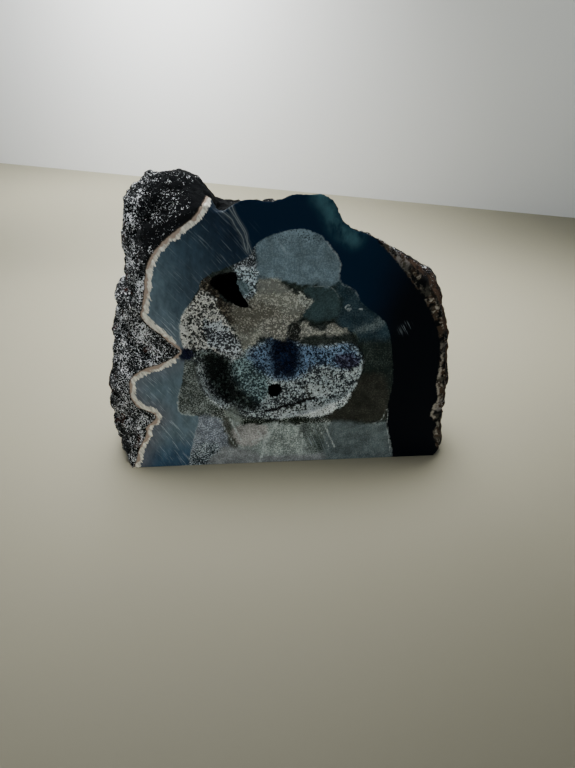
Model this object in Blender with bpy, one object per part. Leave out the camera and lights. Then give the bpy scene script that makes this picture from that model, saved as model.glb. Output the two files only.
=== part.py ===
"""An agate geode sawn into a standing block.

The nodule has a sawn upright face, a sawn flat base and natural rough skin everywhere else. A
hollow in the sawn face is lined with one crust of small quartz crystals.

The sawn face looks along -Y, +X runs to its right, and the base rests on Z = 0 with the origin
under the middle of the block. Outlines are in millimetres on the sawn face, as (x, z).
"""

import math
import random

import bmesh
import bpy
from mathutils import Vector, noise

MM = 0.001

# Driving dimensions, in millimetres.
FACE_Y = -25.0
SKIN_FLARE_DEPTH = 13.0
FLARE_POWER = 0.85
BACK_ROUND_START = 10.0
BACK_ROUND_LENGTH = 46.4
BACK_ROUND_POWER = 2.3
NODULE_CENTRE = (-2.0, 40.0)

# The nodule's skin where the saw met it, clockwise from the lower left, as (x, z, flare). The
# flare is how much further out the skin stands where the nodule is widest, behind the face.
FACE_OUTLINE = [
    (-60.0, -14.0, 4.0),
    (-56.5, 1.0, 7.0),
    (-54.0, 8.0, 9.0),
    (-51.0, 13.5, 12.0),
    (-50.0, 18.0, 14.0),
    (-46.5, 21.5, 17.0),
    (-50.5, 24.5, 13.5),
    (-53.8, 29.5, 9.5),
    (-53.5, 35.0, 9.5),
    (-50.0, 39.5, 12.5),
    (-43.5, 42.5, 18.5),
    (-36.0, 46.5, 25.0),
    (-41.5, 52.5, 19.0),
    (-47.0, 59.5, 7.0),
    (-45.5, 67.5, 3.5),
    (-43.5, 76.0, 9.0),
    (-39.0, 81.5, 18.5),
    (-32.5, 86.5, 17.5),
    (-27.0, 91.5, 6.5),
    (-23.8, 95.8, 0.0),
    (-19.0, 94.5, -4.5),
    (-10.0, 94.0, -5.0),
    (-3.5, 94.0, -4.0),
    (0.5, 95.8, -4.5),
    (5.5, 95.6, -4.5),
    (10.0, 95.6, -4.5),
    (13.0, 93.5, -4.0),
    (16.5, 86.8, -2.5),
    (23.0, 83.8, -3.0),
    (30.0, 80.0, -1.5),
    (37.0, 74.5, 0.0),
    (42.5, 69.0, 2.0),
    (46.5, 62.0, 3.8),
    (49.5, 54.5, 4.0),
    (51.2, 48.0, 4.0),
    (53.2, 36.0, 4.0),
    (53.8, 24.0, 4.2),
    (54.4, 11.0, 4.0),
    (55.8, 4.5, 3.5),
    (53.5, -1.0, 3.0),
    (52.0, -14.0, 2.0),
]
OUTLINE_SAMPLES = 116
FRONT_RING_DEPTHS = [0.9, 2.4, 4.6, 7.4, 10.2]
BACK_RINGS = 17
LAST_RING_ANGLE = math.radians(84)
# From these rings on, only every second and every fourth corner of the outline is kept.
HALF_FROM, QUARTER_FROM = 12, 18
# Behind the face the outline's small features fade out between these depths.
FADE_START, FADE_END = 12.0, 46.0
FADE_REACH = 13

# The natural skin: broad swells, rounded knobs with creases between them, and grain, each as
# (size, how far it stands out).
SKIN_SWELL = (26.0, 2.8)
SKIN_KNOBS = (12.0, 4.2)
SKIN_GRAIN = (4.5, 1.0)
KNOB_MEAN = 0.22
SKIN_LUMPS_START = 1.0
SKIN_LUMPS_FULL = 12.0

# The hollow in the sawn face.
HOLLOW_OUTLINE = [
    (-35.0, 49.0),
    (-35.0, 54.0),
    (-33.5, 59.0),
    (-30.5, 64.0),
    (-27.0, 68.5),
    (-23.0, 72.0),
    (-18.0, 73.5),
    (-12.0, 72.5),
    (-7.0, 70.5),
    (-1.0, 68.0),
    (4.0, 66.0),
    (7.0, 63.5),
    (5.8, 60.6),
    (3.2, 57.6),
    (5.2, 56.8),
    (8.6, 54.0),
    (13.5, 56.0),
    (17.0, 53.3),
    (20.5, 51.5),
    (22.0, 48.0),
    (25.0, 42.5),
    (25.0, 36.5),
    (22.5, 31.0),
    (19.5, 27.0),
    (14.0, 24.0),
    (7.0, 21.0),
    (0.0, 19.5),
    (-8.0, 18.5),
    (-15.0, 19.5),
    (-20.0, 22.0),
    (-25.0, 26.0),
    (-29.0, 30.0),
    (-31.5, 36.0),
    (-32.0, 42.0),
]
HOLLOW_SAMPLES = 84
# The bowls that run together into the hollow: (x, z, half width, half height, depth).
HOLLOW_BOWLS = [
    (-2.0, 33.5, 27.0, 15.5, 9.5),
    (-2.0, 39.5, 20.0, 10.5, 13.5),
    (-2.5, 43.0, 8.5, 7.0, 18.0),
    (-24.0, 35.5, 8.5, 11.0, 13.0),
    (-27.0, 55.5, 9.0, 11.0, 6.0),
    (-18.0, 54.5, 8.0, 11.0, 5.0),
    (-19.0, 66.5, 9.0, 7.5, 6.5),
    (1.4, 52.4, 3.6, 5.2, 4.5),
]
BOWL_EDGE_POWER = 0.6
SHELF_DEPTH = 2.7
HOLLOW_BUMP_SIZE = 5.0
HOLLOW_BUMP = 0.8
# The grid that the hollow is cut with and its crystals stand on. Its corners are shifted a little,
# so that no two crystals have the same foot.
HOLLOW_CELL = 2.1
HOLLOW_MARGIN = 3.0
HOLLOW_SHIFT_SIZE = 3.1
HOLLOW_SHIFT = 1.1
# Cutters start this far before the sawn face, and their lids a little further.
CUT_FRONT = -4.0
LID_FRONT = -6.0
CUT_BACK = 40.0

# Two dark ways on into the stone: a slanting split and a small six-sided hole, as the outline on
# the sawn face, how far back each goes, and how much it sinks on the way.
SPLIT_OUTLINE = [
    (-25.0, 68.5),
    (-23.0, 71.0),
    (-20.0, 72.2),
    (-16.6, 72.4),
    (-16.2, 68.5),
    (-15.4, 64.8),
    (-12.0, 60.8),
    (-14.0, 60.2),
    (-17.2, 62.0),
    (-20.8, 64.2),
]
SPLIT_DEPTH = 27.0
SPLIT_SINK = 5.0
SMALL_HOLE_CENTRE = (-5.0, 26.4)
SMALL_HOLE_RADIUS = 2.6
SMALL_HOLE_SIDES = 6
SMALL_HOLE_DEPTH = 24.0
VOID_TAPER = 0.75

# The crystal crust: its clearance from the stone, its thickness, and how far its points stand out.
CRUST_GAP = 0.5
CRUST_FRONT = 0.3
CRUST_THICKNESS = 1.0
CRYSTAL_LOW, CRYSTAL_HIGH = 0.5, 1.5
CRYSTAL_LEAN = 0.55
CRUST_SEED = 7

STONE_COLOUR, STONE_ROUGHNESS = (0.05, 0.08, 0.1), 0.45
CRUST_COLOUR, CRUST_ROUGHNESS = (0.32, 0.36, 0.38), 0.3
SHARP_ANGLE = math.radians(38)
WELD_DISTANCE = 0.00006


def clear_scene():
    for old in list(bpy.data.objects):
        bpy.data.objects.remove(old, do_unlink=True)


def smooth_loop(points, samples):
    """Evenly spaced points along a smooth closed curve through the given ones (Catmull-Rom)."""
    steps = 24
    dense = []
    count = len(points)
    corners = [Vector(p) for p in points]
    for i in range(count):
        a, b, c, d = (corners[(i + k - 1) % count] for k in range(4))
        for step in range(steps):
            t = step / steps
            dense.append(
                0.5 * (2 * b + (c - a) * t + (2 * a - 5 * b + 4 * c - d) * t**2 + (3 * b - a - 3 * c + d) * t**3)
            )
    along = [0.0]
    for i, point in enumerate(dense):
        following = dense[(i + 1) % len(dense)]
        along.append(along[-1] + (following - point).to_2d().length)
    spaced = []
    at = 0
    for k in range(samples):
        wanted = along[-1] * k / samples
        while along[at + 1] < wanted:
            at += 1
        share = (wanted - along[at]) / max(along[at + 1] - along[at], 1e-9)
        spaced.append(dense[at].lerp(dense[(at + 1) % len(dense)], share))
    return spaced


def ramp(value, low, high):
    """0 below low, 1 above high and a smooth step between."""
    share = min(1.0, max(0.0, (value - low) / (high - low)))
    return share * share * (3 - 2 * share)


def place(x, depth, z):
    """A point in metres from millimetres across, behind and up the sawn face."""
    return Vector((x * MM, (FACE_Y + depth) * MM, z * MM))


def evened_out(outline, reach):
    """The outline with every point at the mean of its neighbours, so that small features go."""
    count = len(outline)
    span = range(-reach, reach + 1)
    return [sum((outline[(i + k) % count] for k in span), Vector((0, 0, 0))) / len(span) for i in range(count)]


def ring_places():
    """How far back each ring of skin is, and how much it has closed in on the nodule's middle."""
    places = [(depth, 1.0) for depth in FRONT_RING_DEPTHS]
    for step in range(1, BACK_RINGS + 1):
        turn = LAST_RING_ANGLE * step / BACK_RINGS
        back = math.sin(turn) ** (2 / BACK_ROUND_POWER)
        places.append((BACK_ROUND_START + BACK_ROUND_LENGTH * back, math.cos(turn) ** (2 / BACK_ROUND_POWER)))
    return places


def skin_point(face_point, even_point, depth, shrink):
    """Where the skin runs behind one point of the face's outline: it flares out, then closes in."""
    x, z, flare = face_point.lerp(even_point, ramp(depth, FADE_START, FADE_END))
    centre = Vector(NODULE_CENTRE)
    across = Vector((x, z)) - centre
    spread = math.sin(min(1.0, depth / SKIN_FLARE_DEPTH) * math.pi / 2) ** FLARE_POWER
    at = centre + (across + across.normalized() * flare * spread) * shrink
    return place(at.x, depth, at.y)


def skin_lump(point_mm):
    """How far the natural skin stands out at a point, in millimetres."""
    swell = noise.noise(point_mm / SKIN_SWELL[0]) * SKIN_SWELL[1]
    knobs = (abs(noise.noise(point_mm / SKIN_KNOBS[0])) - KNOB_MEAN) * SKIN_KNOBS[1]
    grain = noise.noise(point_mm / SKIN_GRAIN[0]) * SKIN_GRAIN[1]
    return swell + knobs + grain


def new_object(name, mesh_tools, hidden=False):
    """An object from a bmesh. A cutter is hidden, so it isn't part of the geode."""
    bmesh.ops.recalc_face_normals(mesh_tools, faces=mesh_tools.faces)
    mesh = bpy.data.meshes.new(name)
    mesh_tools.to_mesh(mesh)
    mesh_tools.free()
    obj = bpy.data.objects.new(name, mesh)
    bpy.context.scene.collection.objects.link(obj)
    if hidden:
        obj.hide_render = True
        obj.display_type = "WIRE"
    return obj


def extruded_onward(mesh_tools, face):
    """Extrudes a face and returns the new face, so that its corners can be put in place."""
    made = bmesh.ops.extrude_face_region(mesh_tools, geom=[face])["geom"]
    return next(part for part in made if isinstance(part, bmesh.types.BMFace))


def add_boolean(obj, operation, other):
    cut = obj.modifiers.new(f"{operation.lower()} {other.name}", "BOOLEAN")
    cut.operation = operation
    cut.object = other
    cut.solver = "EXACT"


def add_weld(obj):
    """Merges the slivers that a Boolean leaves."""
    obj.modifiers.new("weld", "WELD").merge_threshold = WELD_DISTANCE


def nodule():
    """The whole nodule as a solid: rings of skin behind the sawn face, then the flat base."""
    outline = smooth_loop(FACE_OUTLINE, OUTLINE_SAMPLES)
    even = evened_out(outline, FADE_REACH)
    tools = bmesh.new()
    which = tools.verts.layers.int.new("outline point")
    corners = [tools.verts.new(place(p.x, 0.0, p.y)) for p in outline]
    for number, corner in enumerate(corners):
        corner[which] = number
    rim = list(tools.faces.new(corners).edges)
    merges = {}
    for ring, (depth, shrink) in enumerate(ring_places()):
        made = bmesh.ops.extrude_edge_only(tools, edges=rim)["geom"]
        rim = [part for part in made if isinstance(part, bmesh.types.BMEdge)]
        corners = {corner[which]: corner for edge in rim for corner in edge.verts}
        keep_every = 4 if ring >= QUARTER_FROM else 2 if ring >= HALF_FROM else 1
        for number, corner in corners.items():
            corner.co = skin_point(outline[number], even[number], depth, shrink)
            if number % keep_every:
                merges[corner] = corners[number - number % keep_every]
    bmesh.ops.weld_verts(tools, targetmap=merges)
    back = bmesh.ops.holes_fill(tools, edges=tools.edges)["faces"]
    bmesh.ops.poke(tools, faces=back)
    squares = [face for face in tools.faces if len(face.verts) == 4]
    bmesh.ops.triangulate(tools, faces=squares, quad_method="SHORT_EDGE")
    bmesh.ops.recalc_face_normals(tools, faces=tools.faces)
    tools.normal_update()
    for corner in tools.verts:
        depth = corner.co.y / MM - FACE_Y
        share = ramp(depth, SKIN_LUMPS_START, SKIN_LUMPS_FULL)
        corner.co += corner.normal * skin_lump(corner.co / MM) * share * MM
    cut = bmesh.ops.bisect_plane(
        tools,
        geom=[*tools.verts, *tools.edges, *tools.faces],
        plane_co=(0, 0, 0),
        plane_no=(0, 0, -1),
        clear_outer=True,
    )
    rim = [part for part in cut["geom_cut"] if isinstance(part, bmesh.types.BMEdge)]
    bmesh.ops.edgeloop_fill(tools, edges=rim)
    return new_object("agate_stone", tools)


def hollow_depth(x, z):
    """How far the hollow reaches behind the sawn face at one point, in millimetres."""
    depth = SHELF_DEPTH
    for bowl_x, bowl_z, half_width, half_height, bowl_depth in HOLLOW_BOWLS:
        inside = 1 - ((x - bowl_x) / half_width) ** 2 - ((z - bowl_z) / half_height) ** 2
        if inside > 0:
            depth = max(depth, bowl_depth * inside**BOWL_EDGE_POWER)
    return depth + noise.noise(Vector((x, 0, z)) / HOLLOW_BUMP_SIZE) * HOLLOW_BUMP


def hollow_grid(offset):
    """An uneven grid over the hollow, at its depth less an offset."""
    xs = [p[0] for p in HOLLOW_OUTLINE]
    zs = [p[1] for p in HOLLOW_OUTLINE]
    low_x, high_x = min(xs) - HOLLOW_MARGIN, max(xs) + HOLLOW_MARGIN
    low_z, high_z = min(zs) - HOLLOW_MARGIN, max(zs) + HOLLOW_MARGIN
    tools = bmesh.new()
    bmesh.ops.create_grid(
        tools,
        x_segments=round((high_x - low_x) / HOLLOW_CELL),
        y_segments=round((high_z - low_z) / HOLLOW_CELL),
        size=0.5,
    )
    for corner in tools.verts:
        x = low_x + (corner.co.x + 0.5) * (high_x - low_x)
        z = low_z + (corner.co.y + 0.5) * (high_z - low_z)
        shift = noise.noise_vector(Vector((x, 0, z)) / HOLLOW_SHIFT_SIZE) * HOLLOW_SHIFT
        x += shift.x
        z += shift.z
        corner.co = place(x, hollow_depth(x, z) - offset, z)
    return tools


def outline_prism(name, outline, front, back, shift=(0.0, 0.0), taper=1.0):
    """A hidden solid with the given outline, from one depth to another, which can slant and taper."""
    tools = bmesh.new()
    face = tools.faces.new([tools.verts.new(place(x, front, z)) for x, z in outline])
    middle = sum((Vector(p) for p in outline), Vector((0, 0))) / len(outline)
    face = extruded_onward(tools, face)
    for corner in face.verts:
        across = Vector((corner.co.x, corner.co.z)) / MM - middle
        at = middle + across * taper + Vector(shift)
        corner.co = place(at.x, back, at.y)
    return new_object(name, tools, hidden=True)


def inset(outline, distance):
    """A clockwise or anticlockwise closed outline moved square to itself, towards its inside."""
    count = len(outline)
    area = sum(outline[i - 1][0] * outline[i][1] - outline[i][0] * outline[i - 1][1] for i in range(count))
    side = distance if area > 0 else -distance
    moved = []
    for i, (x, z) in enumerate(outline):
        ahead = Vector(outline[(i + 1) % count]) - Vector(outline[i - 1])
        ahead.normalize()
        moved.append((x - ahead.y * side, z + ahead.x * side))
    return moved


def hollow_cutter():
    """The space of the hollow: its grid closed by a flat front, inside the hollow's outline."""
    tools = hollow_grid(0.0)
    bmesh.ops.triangulate(tools, faces=tools.faces, quad_method="FIXED")
    made = bmesh.ops.extrude_face_region(tools, geom=list(tools.faces), use_keep_orig=True)["geom"]
    for corner in (part for part in made if isinstance(part, bmesh.types.BMVert)):
        corner.co.y = (FACE_Y + LID_FRONT) * MM
    cutter = new_object("hollow cutter", tools, hidden=True)
    outline = [tuple(p) for p in smooth_loop(HOLLOW_OUTLINE, HOLLOW_SAMPLES)]
    add_boolean(cutter, "INTERSECT", outline_prism("hollow outline", outline, CUT_FRONT, CUT_BACK))
    add_weld(cutter)
    return cutter


def void_cutters():
    """The slanting split and the small six-sided hole."""
    split = outline_prism("split", SPLIT_OUTLINE, CUT_FRONT, SPLIT_DEPTH, (0.0, -SPLIT_SINK), VOID_TAPER)
    hole_outline = []
    for side in range(SMALL_HOLE_SIDES):
        turn = math.tau * side / SMALL_HOLE_SIDES
        x = SMALL_HOLE_CENTRE[0] + SMALL_HOLE_RADIUS * math.cos(turn)
        z = SMALL_HOLE_CENTRE[1] + SMALL_HOLE_RADIUS * math.sin(turn)
        hole_outline.append((x, z))
    hole = outline_prism("small hole", hole_outline, CUT_FRONT, SMALL_HOLE_DEPTH, taper=VOID_TAPER)
    return [split, hole]


def crystal_crust():
    """One crust over the hollow: a thin shell whose open side is covered with pointed crystals."""
    dice = random.Random(CRUST_SEED)
    tools = hollow_grid(CRUST_GAP + CRUST_THICKNESS)
    front = list(tools.faces)
    made = bmesh.ops.extrude_face_region(tools, geom=front, use_keep_orig=True)["geom"]
    for corner in (part for part in made if isinstance(part, bmesh.types.BMVert)):
        corner.co.y += CRUST_THICKNESS * MM
    back = [part for part in made if isinstance(part, bmesh.types.BMFace)]
    bmesh.ops.triangulate(tools, faces=back, quad_method="FIXED")
    lean = CRYSTAL_LEAN * HOLLOW_CELL / 2
    points = bmesh.ops.poke(tools, faces=front)["verts"]
    for point in points:
        height = dice.uniform(CRYSTAL_LOW, CRYSTAL_HIGH)
        point.co += Vector((dice.uniform(-lean, lean), -height, dice.uniform(-lean, lean))) * MM
    crust = new_object("crystal_crust", tools)
    outline = inset([tuple(p) for p in smooth_loop(HOLLOW_OUTLINE, HOLLOW_SAMPLES)], CRUST_GAP)
    add_boolean(crust, "INTERSECT", outline_prism("crust outline", outline, CRUST_FRONT, CUT_BACK))
    add_weld(crust)
    return crust


def finish(obj, colour, roughness):
    """Gives an object its material and its shading: smooth, but sharp at the sawn edges."""
    material = bpy.data.materials.new(obj.name)
    material.use_nodes = True
    shader = material.node_tree.nodes["Principled BSDF"]
    shader.inputs["Base Color"].default_value = (*colour, 1.0)
    shader.inputs["Roughness"].default_value = roughness
    shader.inputs["Metallic"].default_value = 0.0
    obj.data.materials.append(material)
    obj.data.shade_smooth()
    obj.data.set_sharp_from_angle(angle=SHARP_ANGLE)


def main():
    clear_scene()
    stone = nodule()
    crust = crystal_crust()
    voids = void_cutters()
    add_boolean(stone, "DIFFERENCE", hollow_cutter())
    for obj in (stone, crust):
        for void in voids:
            add_boolean(obj, "DIFFERENCE", void)
        add_weld(obj)
    finish(stone, STONE_COLOUR, STONE_ROUGHNESS)
    finish(crust, CRUST_COLOUR, CRUST_ROUGHNESS)


main()
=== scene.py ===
# %% [markdown]
# # An agate geode, sawn to stand
#
# The real object is a nodule of agate that a saw opened: one upright sawn face with a pale rim,
# blue and black agate and grey quartz, a hollow full of small crystals, and rough natural skin on
# every other side but the base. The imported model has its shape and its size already. This script
# adds the fine relief, the colours and the crystals, and sets the table, the wall and the light
# round it. Lengths are in millimetres, except where Blender is given metres.

import math

import bpy
import bmesh
import numpy as np
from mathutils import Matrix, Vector, kdtree, noise


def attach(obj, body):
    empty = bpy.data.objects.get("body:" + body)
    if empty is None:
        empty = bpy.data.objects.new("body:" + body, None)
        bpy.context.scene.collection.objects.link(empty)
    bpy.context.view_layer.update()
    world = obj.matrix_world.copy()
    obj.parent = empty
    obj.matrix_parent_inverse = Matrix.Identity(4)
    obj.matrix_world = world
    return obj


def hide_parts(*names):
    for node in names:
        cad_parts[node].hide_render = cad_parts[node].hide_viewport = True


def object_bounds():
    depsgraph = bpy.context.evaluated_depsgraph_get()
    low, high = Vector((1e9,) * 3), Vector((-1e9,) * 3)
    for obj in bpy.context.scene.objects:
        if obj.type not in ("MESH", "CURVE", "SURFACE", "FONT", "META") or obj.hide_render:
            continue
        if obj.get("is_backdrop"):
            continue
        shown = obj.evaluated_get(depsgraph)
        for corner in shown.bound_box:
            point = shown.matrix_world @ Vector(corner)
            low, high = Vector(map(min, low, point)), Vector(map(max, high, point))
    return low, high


MM = 0.001
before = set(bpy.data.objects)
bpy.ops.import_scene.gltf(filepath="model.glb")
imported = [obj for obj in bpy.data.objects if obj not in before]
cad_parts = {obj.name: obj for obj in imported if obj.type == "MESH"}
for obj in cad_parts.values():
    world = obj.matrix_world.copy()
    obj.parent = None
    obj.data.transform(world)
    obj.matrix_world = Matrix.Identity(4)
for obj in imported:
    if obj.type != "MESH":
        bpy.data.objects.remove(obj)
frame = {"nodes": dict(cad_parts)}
cad_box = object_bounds()
print("model:", ", ".join(frame["nodes"]))

# %% [markdown]
# ## Camera
# The stone was photographed from close by and a little above. A camera is an object with a lens
# and a direction. It could be turned by hand in the viewport, but here its direction comes from
# two angles, which are easier to adjust than a rotation. The near clipping distance is small,
# because the stone is only some twenty centimetres away.

# %% Camera
CAMERA_PLACE = (-12.19, -194.31, 130.86)
CAMERA_YAW, CAMERA_PITCH = math.radians(3.83), math.radians(30)
CAMERA_LENS = 27.0
CAMERA_NEAREST = 5.0


def view_direction(yaw, pitch):
    level = math.cos(pitch)
    return Vector((math.sin(yaw) * level, math.cos(yaw) * level, -math.sin(pitch)))


camera = bpy.data.objects.new("camera", bpy.data.cameras.new("camera"))
camera.data.lens = CAMERA_LENS
camera.data.clip_start = CAMERA_NEAREST * MM
camera.location = Vector(CAMERA_PLACE) * MM
camera.rotation_euler = view_direction(CAMERA_YAW, CAMERA_PITCH).to_track_quat("-Z", "Y").to_euler()
bpy.context.scene.collection.objects.link(camera)
bpy.context.scene.camera = camera
print("camera", round(camera.location.length, 3), "m from the middle of the base")

# %% [markdown]
# ## Smooth outlines
# The bands and patches of a cut agate have soft, flowing borders. They could be painted on an
# image, but an outline of a few points, made smooth by a curve through them, stays sharp at any
# size and is easy to change.

# %% A smooth curve through points
SMOOTH_STEPS = 5


def smooth_curve(points, closed=True):
    """A finer run of points along a smooth curve through the given ones (Catmull-Rom)."""
    given = np.array(points, float)
    if closed:
        padded = np.concatenate([given[-1:], given, given[:2]])
    else:
        padded = np.concatenate([2 * given[:1] - given[1:2], given, 2 * given[-1:] - given[-2:-1]])
    t = (np.arange(SMOOTH_STEPS) / SMOOTH_STEPS)[:, None]
    pieces = []
    for a, b, c, d in zip(padded[:-3], padded[1:-2], padded[2:-1], padded[3:]):
        bend = (2 * a - 5 * b + 4 * c - d) * t**2
        curve = 2 * b + (c - a) * t + bend + (3 * b - a - 3 * c + d) * t**3
        pieces.append(curve / 2)
    if not closed:
        pieces.append(given[-1:])
    return np.concatenate(pieces)


print("a line between two points becomes", len(smooth_curve([(0, 0), (1, 0)], False)), "points")

# %% [markdown]
# ## Distances
# A material can change at a border once it knows how far each place is from it. So each outline
# is turned into a distance, positive inside it and negative outside. One number does for a sharp
# border, a soft one, a thin line along it or a rim beside it.

# %% Distances to lines and outlines
TINY = 1e-9


def line_distance(places, line):
    """How far each place is from a run of points."""
    best = np.full(len(places), np.inf)
    for start, end in zip(line[:-1], line[1:]):
        along = end - start
        share = ((places - start) @ along / max(along @ along, TINY)).clip(0, 1)
        away = places - start - share[:, None] * along
        best = np.minimum(best, (away * away).sum(1))
    return np.sqrt(best)


def inside_distance(places, outline):
    """The distance to a closed outline: positive inside it and negative outside."""
    loop = smooth_curve(outline)
    ends = np.roll(loop, -1, axis=0)
    crossings = np.zeros(len(places), int)
    for (x0, z0), (x1, z1) in zip(loop, ends):
        spans = (places[:, 1] < z0) != (places[:, 1] < z1)
        if z0 != z1:
            crossings += spans & (places[:, 0] < x0 + (places[:, 1] - z0) * (x1 - x0) / (z1 - z0))
    away = line_distance(places, np.concatenate([loop, loop[:1]]))
    return np.where(crossings % 2 == 1, away, -away)


square = [(0, 0), (10, 0), (10, 10), (0, 10)]
depth = inside_distance(np.array([[5.0, 5.0]]), square)[0]
print("the middle of a rounded square 10 mm wide is", depth.round(1), "mm inside it")

# %% [markdown]
# ## Noise and soft steps
# Nothing on a stone is even. Noise is a smooth random height: the same place always gets the same
# value, so the stone comes out the same at each run. More octaves add finer lumps on the large
# ones, and a seed moves the noise elsewhere, so that two uses of it don't match.

# %% Noise and steps
NOISE_SHIFT = Vector((17.3, -9.1, 5.7))
NOISE_FALL, NOISE_FINER = 0.8, 2.1


def rough(points, size, octaves=1, seed=0):
    """Noise of about -1 to 1 at each point, in lumps of the given size."""
    shift = NOISE_SHIFT * seed
    values = [noise.fractal(Vector(p) / size + shift, NOISE_FALL, NOISE_FINER, octaves) for p in points]
    return np.array(values)


def step(values, low, high):
    """0 below low, 1 above high and a smooth step between."""
    share = ((values - low) / (high - low)).clip(0, 1)
    return share * share * (3 - 2 * share)


print("half way up a step:", step(np.array([0.5]), 0, 1)[0])

# %% [markdown]
# ## The agate and the hollow
# The saw cut through the nodule's skin, its agate and its hollow. These outlines, as (x, z) on the
# sawn face, say where the agate begins inside the rim, and where the hollow opens. The agate runs
# past the stone at the top and the bottom, where the stone has no rim.

# %% Outlines of the agate and the hollow
AGATE = [
    (-57.5, -8), (-56.5, 0.5), (-55.5, 3.5), (-54, 8), (-52, 12), (-50.5, 15), (-50.5, 17),
    (-49.5, 18.5), (-47.5, 20), (-46.5, 21.5), (-47.5, 23), (-49.5, 24), (-52.5, 26), (-54, 29.5),
    (-54, 33.5), (-53, 37), (-50, 39.5), (-47, 41), (-43.5, 42), (-40, 43.5), (-37.5, 45), (-36, 46.5),
    (-37.5, 48), (-39.5, 50), (-41.5, 52.5), (-44, 54.5), (-46, 57), (-47, 59.5), (-46, 63),
    (-45, 67.5), (-44, 72.5), (-43, 76), (-41.5, 78.5), (-39, 81.5), (-36, 84), (-32.5, 86.5),
    (-29, 89), (-26, 92.5), (-24.5, 94.5), (-23.5, 97), (-22, 104), (10, 108), (24, 98), (26.5, 82),
    (28.5, 79.5), (32, 76), (36.5, 70.5), (41, 65), (45.5, 58), (49, 51), (50.5, 44), (51, 37),
    (51, 30.5), (52, 25), (50.5, 20), (51, 17), (53, 14), (52.5, 10.5), (54, 4.5), (54, -8),
]
HOLLOW = [
    (-35, 49), (-35, 54), (-33.5, 59), (-30.5, 64), (-27, 68.5), (-23, 72), (-18, 73.5), (-12, 72.5),
    (-7, 70.5), (-1, 68), (4, 66), (7, 63.5), (5.8, 60.6), (3.2, 57.6), (5.2, 56.8), (8.6, 54),
    (13.5, 56), (17, 53.3), (20.5, 51.5), (22, 48), (25, 42.5), (25, 36.5), (22.5, 31), (19.5, 27),
    (14, 24), (7, 21), (0, 19.5), (-8, 18.5), (-15, 19.5), (-20, 22), (-25, 26), (-29, 30),
    (-31.5, 36), (-32, 42),
]

for name, outline in (("agate", AGATE), ("hollow", HOLLOW)):
    print(name, "is", np.ptp(np.array(outline), axis=0).round(1), "mm wide and high")

# %% [markdown]
# ## The stone's fine mesh
# Natural skin needs thousands of small lumps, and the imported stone's faces are too large for them.
# Subdividing would keep their long thin triangles. A voxel remesh makes the same shape again in
# small even squares, so relief and colour are equally fine all over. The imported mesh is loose
# triangles, so a copy of it is merged first.

# %% Making the stone again in small squares
STONE_VOXEL = 0.69
MERGE_WITHIN = 0.001


def merged_copy(name, node):
    """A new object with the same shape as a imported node, its loose triangles joined up."""
    tools = bmesh.new()
    tools.from_mesh(frame["nodes"][node].data)
    bmesh.ops.remove_doubles(tools, verts=tools.verts, dist=MERGE_WITHIN * MM)
    mesh = bpy.data.meshes.new(name)
    tools.to_mesh(mesh)
    tools.free()
    obj = bpy.data.objects.new(name, mesh)
    bpy.context.scene.collection.objects.link(obj)
    return obj


def apply_modifiers(obj):
    graph = bpy.context.evaluated_depsgraph_get()
    made = bpy.data.meshes.new_from_object(obj.evaluated_get(graph))
    obj.modifiers.clear()
    obj.data = made


stone = merged_copy("stone", "agate_stone")
squares = stone.modifiers.new("squares", "REMESH")
squares.mode = "VOXEL"
squares.voxel_size = STONE_VOXEL * MM
apply_modifiers(stone)
print("stone:", len(stone.data.vertices), "points and", len(stone.data.polygons), "faces")

# %% [markdown]
# ## Sawn or natural
# A saw leaves flat faces, and everything else is skin or hollow. Each point is sorted by where it
# is and which way it faces, because the sawn faces have to stay flat while the skin is roughened.

# %% Sorting the stone's points
FACE_Y = -25.0
FLAT_WITHIN = 0.5
SQUARE_ON = 0.6
HOLLOW_MARGIN, HOLLOW_DEEPEST = 1.0, 30.0


def points_of(mesh, what="co"):
    flat = np.empty(len(mesh.vertices) * 3, np.float32)
    mesh.vertices.foreach_get(what, flat)
    return flat.reshape(-1, 3).astype(float)


at = points_of(stone.data) / MM
normals = points_of(stone.data, "normal")
behind = at[:, 1] - FACE_Y
agate_here = inside_distance(at[:, [0, 2]], AGATE)
on_face = (behind < FLAT_WITHIN) & (normals[:, 1] < -SQUARE_ON)
on_base = (at[:, 2] < FLAT_WITHIN) & (normals[:, 2] < -SQUARE_ON)
hollow_here = inside_distance(at[:, [0, 2]], HOLLOW)
in_hollow = (hollow_here > -HOLLOW_MARGIN) & ~on_face & (behind < HOLLOW_DEEPEST)
on_skin = ~on_face & ~on_base & ~in_hollow
print("points:", int(on_face.sum()), "on the face,", int(on_skin.sum()), "on the skin")

# %% [markdown]
# ## Soft pushes
# The real stone swells a little on the left, and dips at the shoulder of the knob. Such a change
# could be sculpted by hand. Here each push is a place, how far round it reaches and how far it
# moves the stone, and it fades out towards the back.

# %% Pushing the outline
# places on the face (x, z), how far round them, and the push in x and z
NUDGES = [
    (-46, 99, 5, 1.9, 0), (-50.5, 93, 4, 0.8, 0), (-49, 86, 5, -1.2, 0), (-51, 73, 7, -3.6, 0),
    (-54, 63, 4.5, -1.6, 0), (-59, 57, 4.5, 3.4, 0), (-58.5, 45, 5, -0.7, 0), (-62, 17, 7, -3.7, 0),
    (-61, 8, 5, -3.3, 0), (-31, 101, 7, 0, 2.4), (-21, 94, 5, -0.8, -4.1), (-13, 89, 5, 0, 1.3),
    (51, 62, 8, 0.6, 0.2),
]
NUDGE_FADE = 60.0

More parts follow.
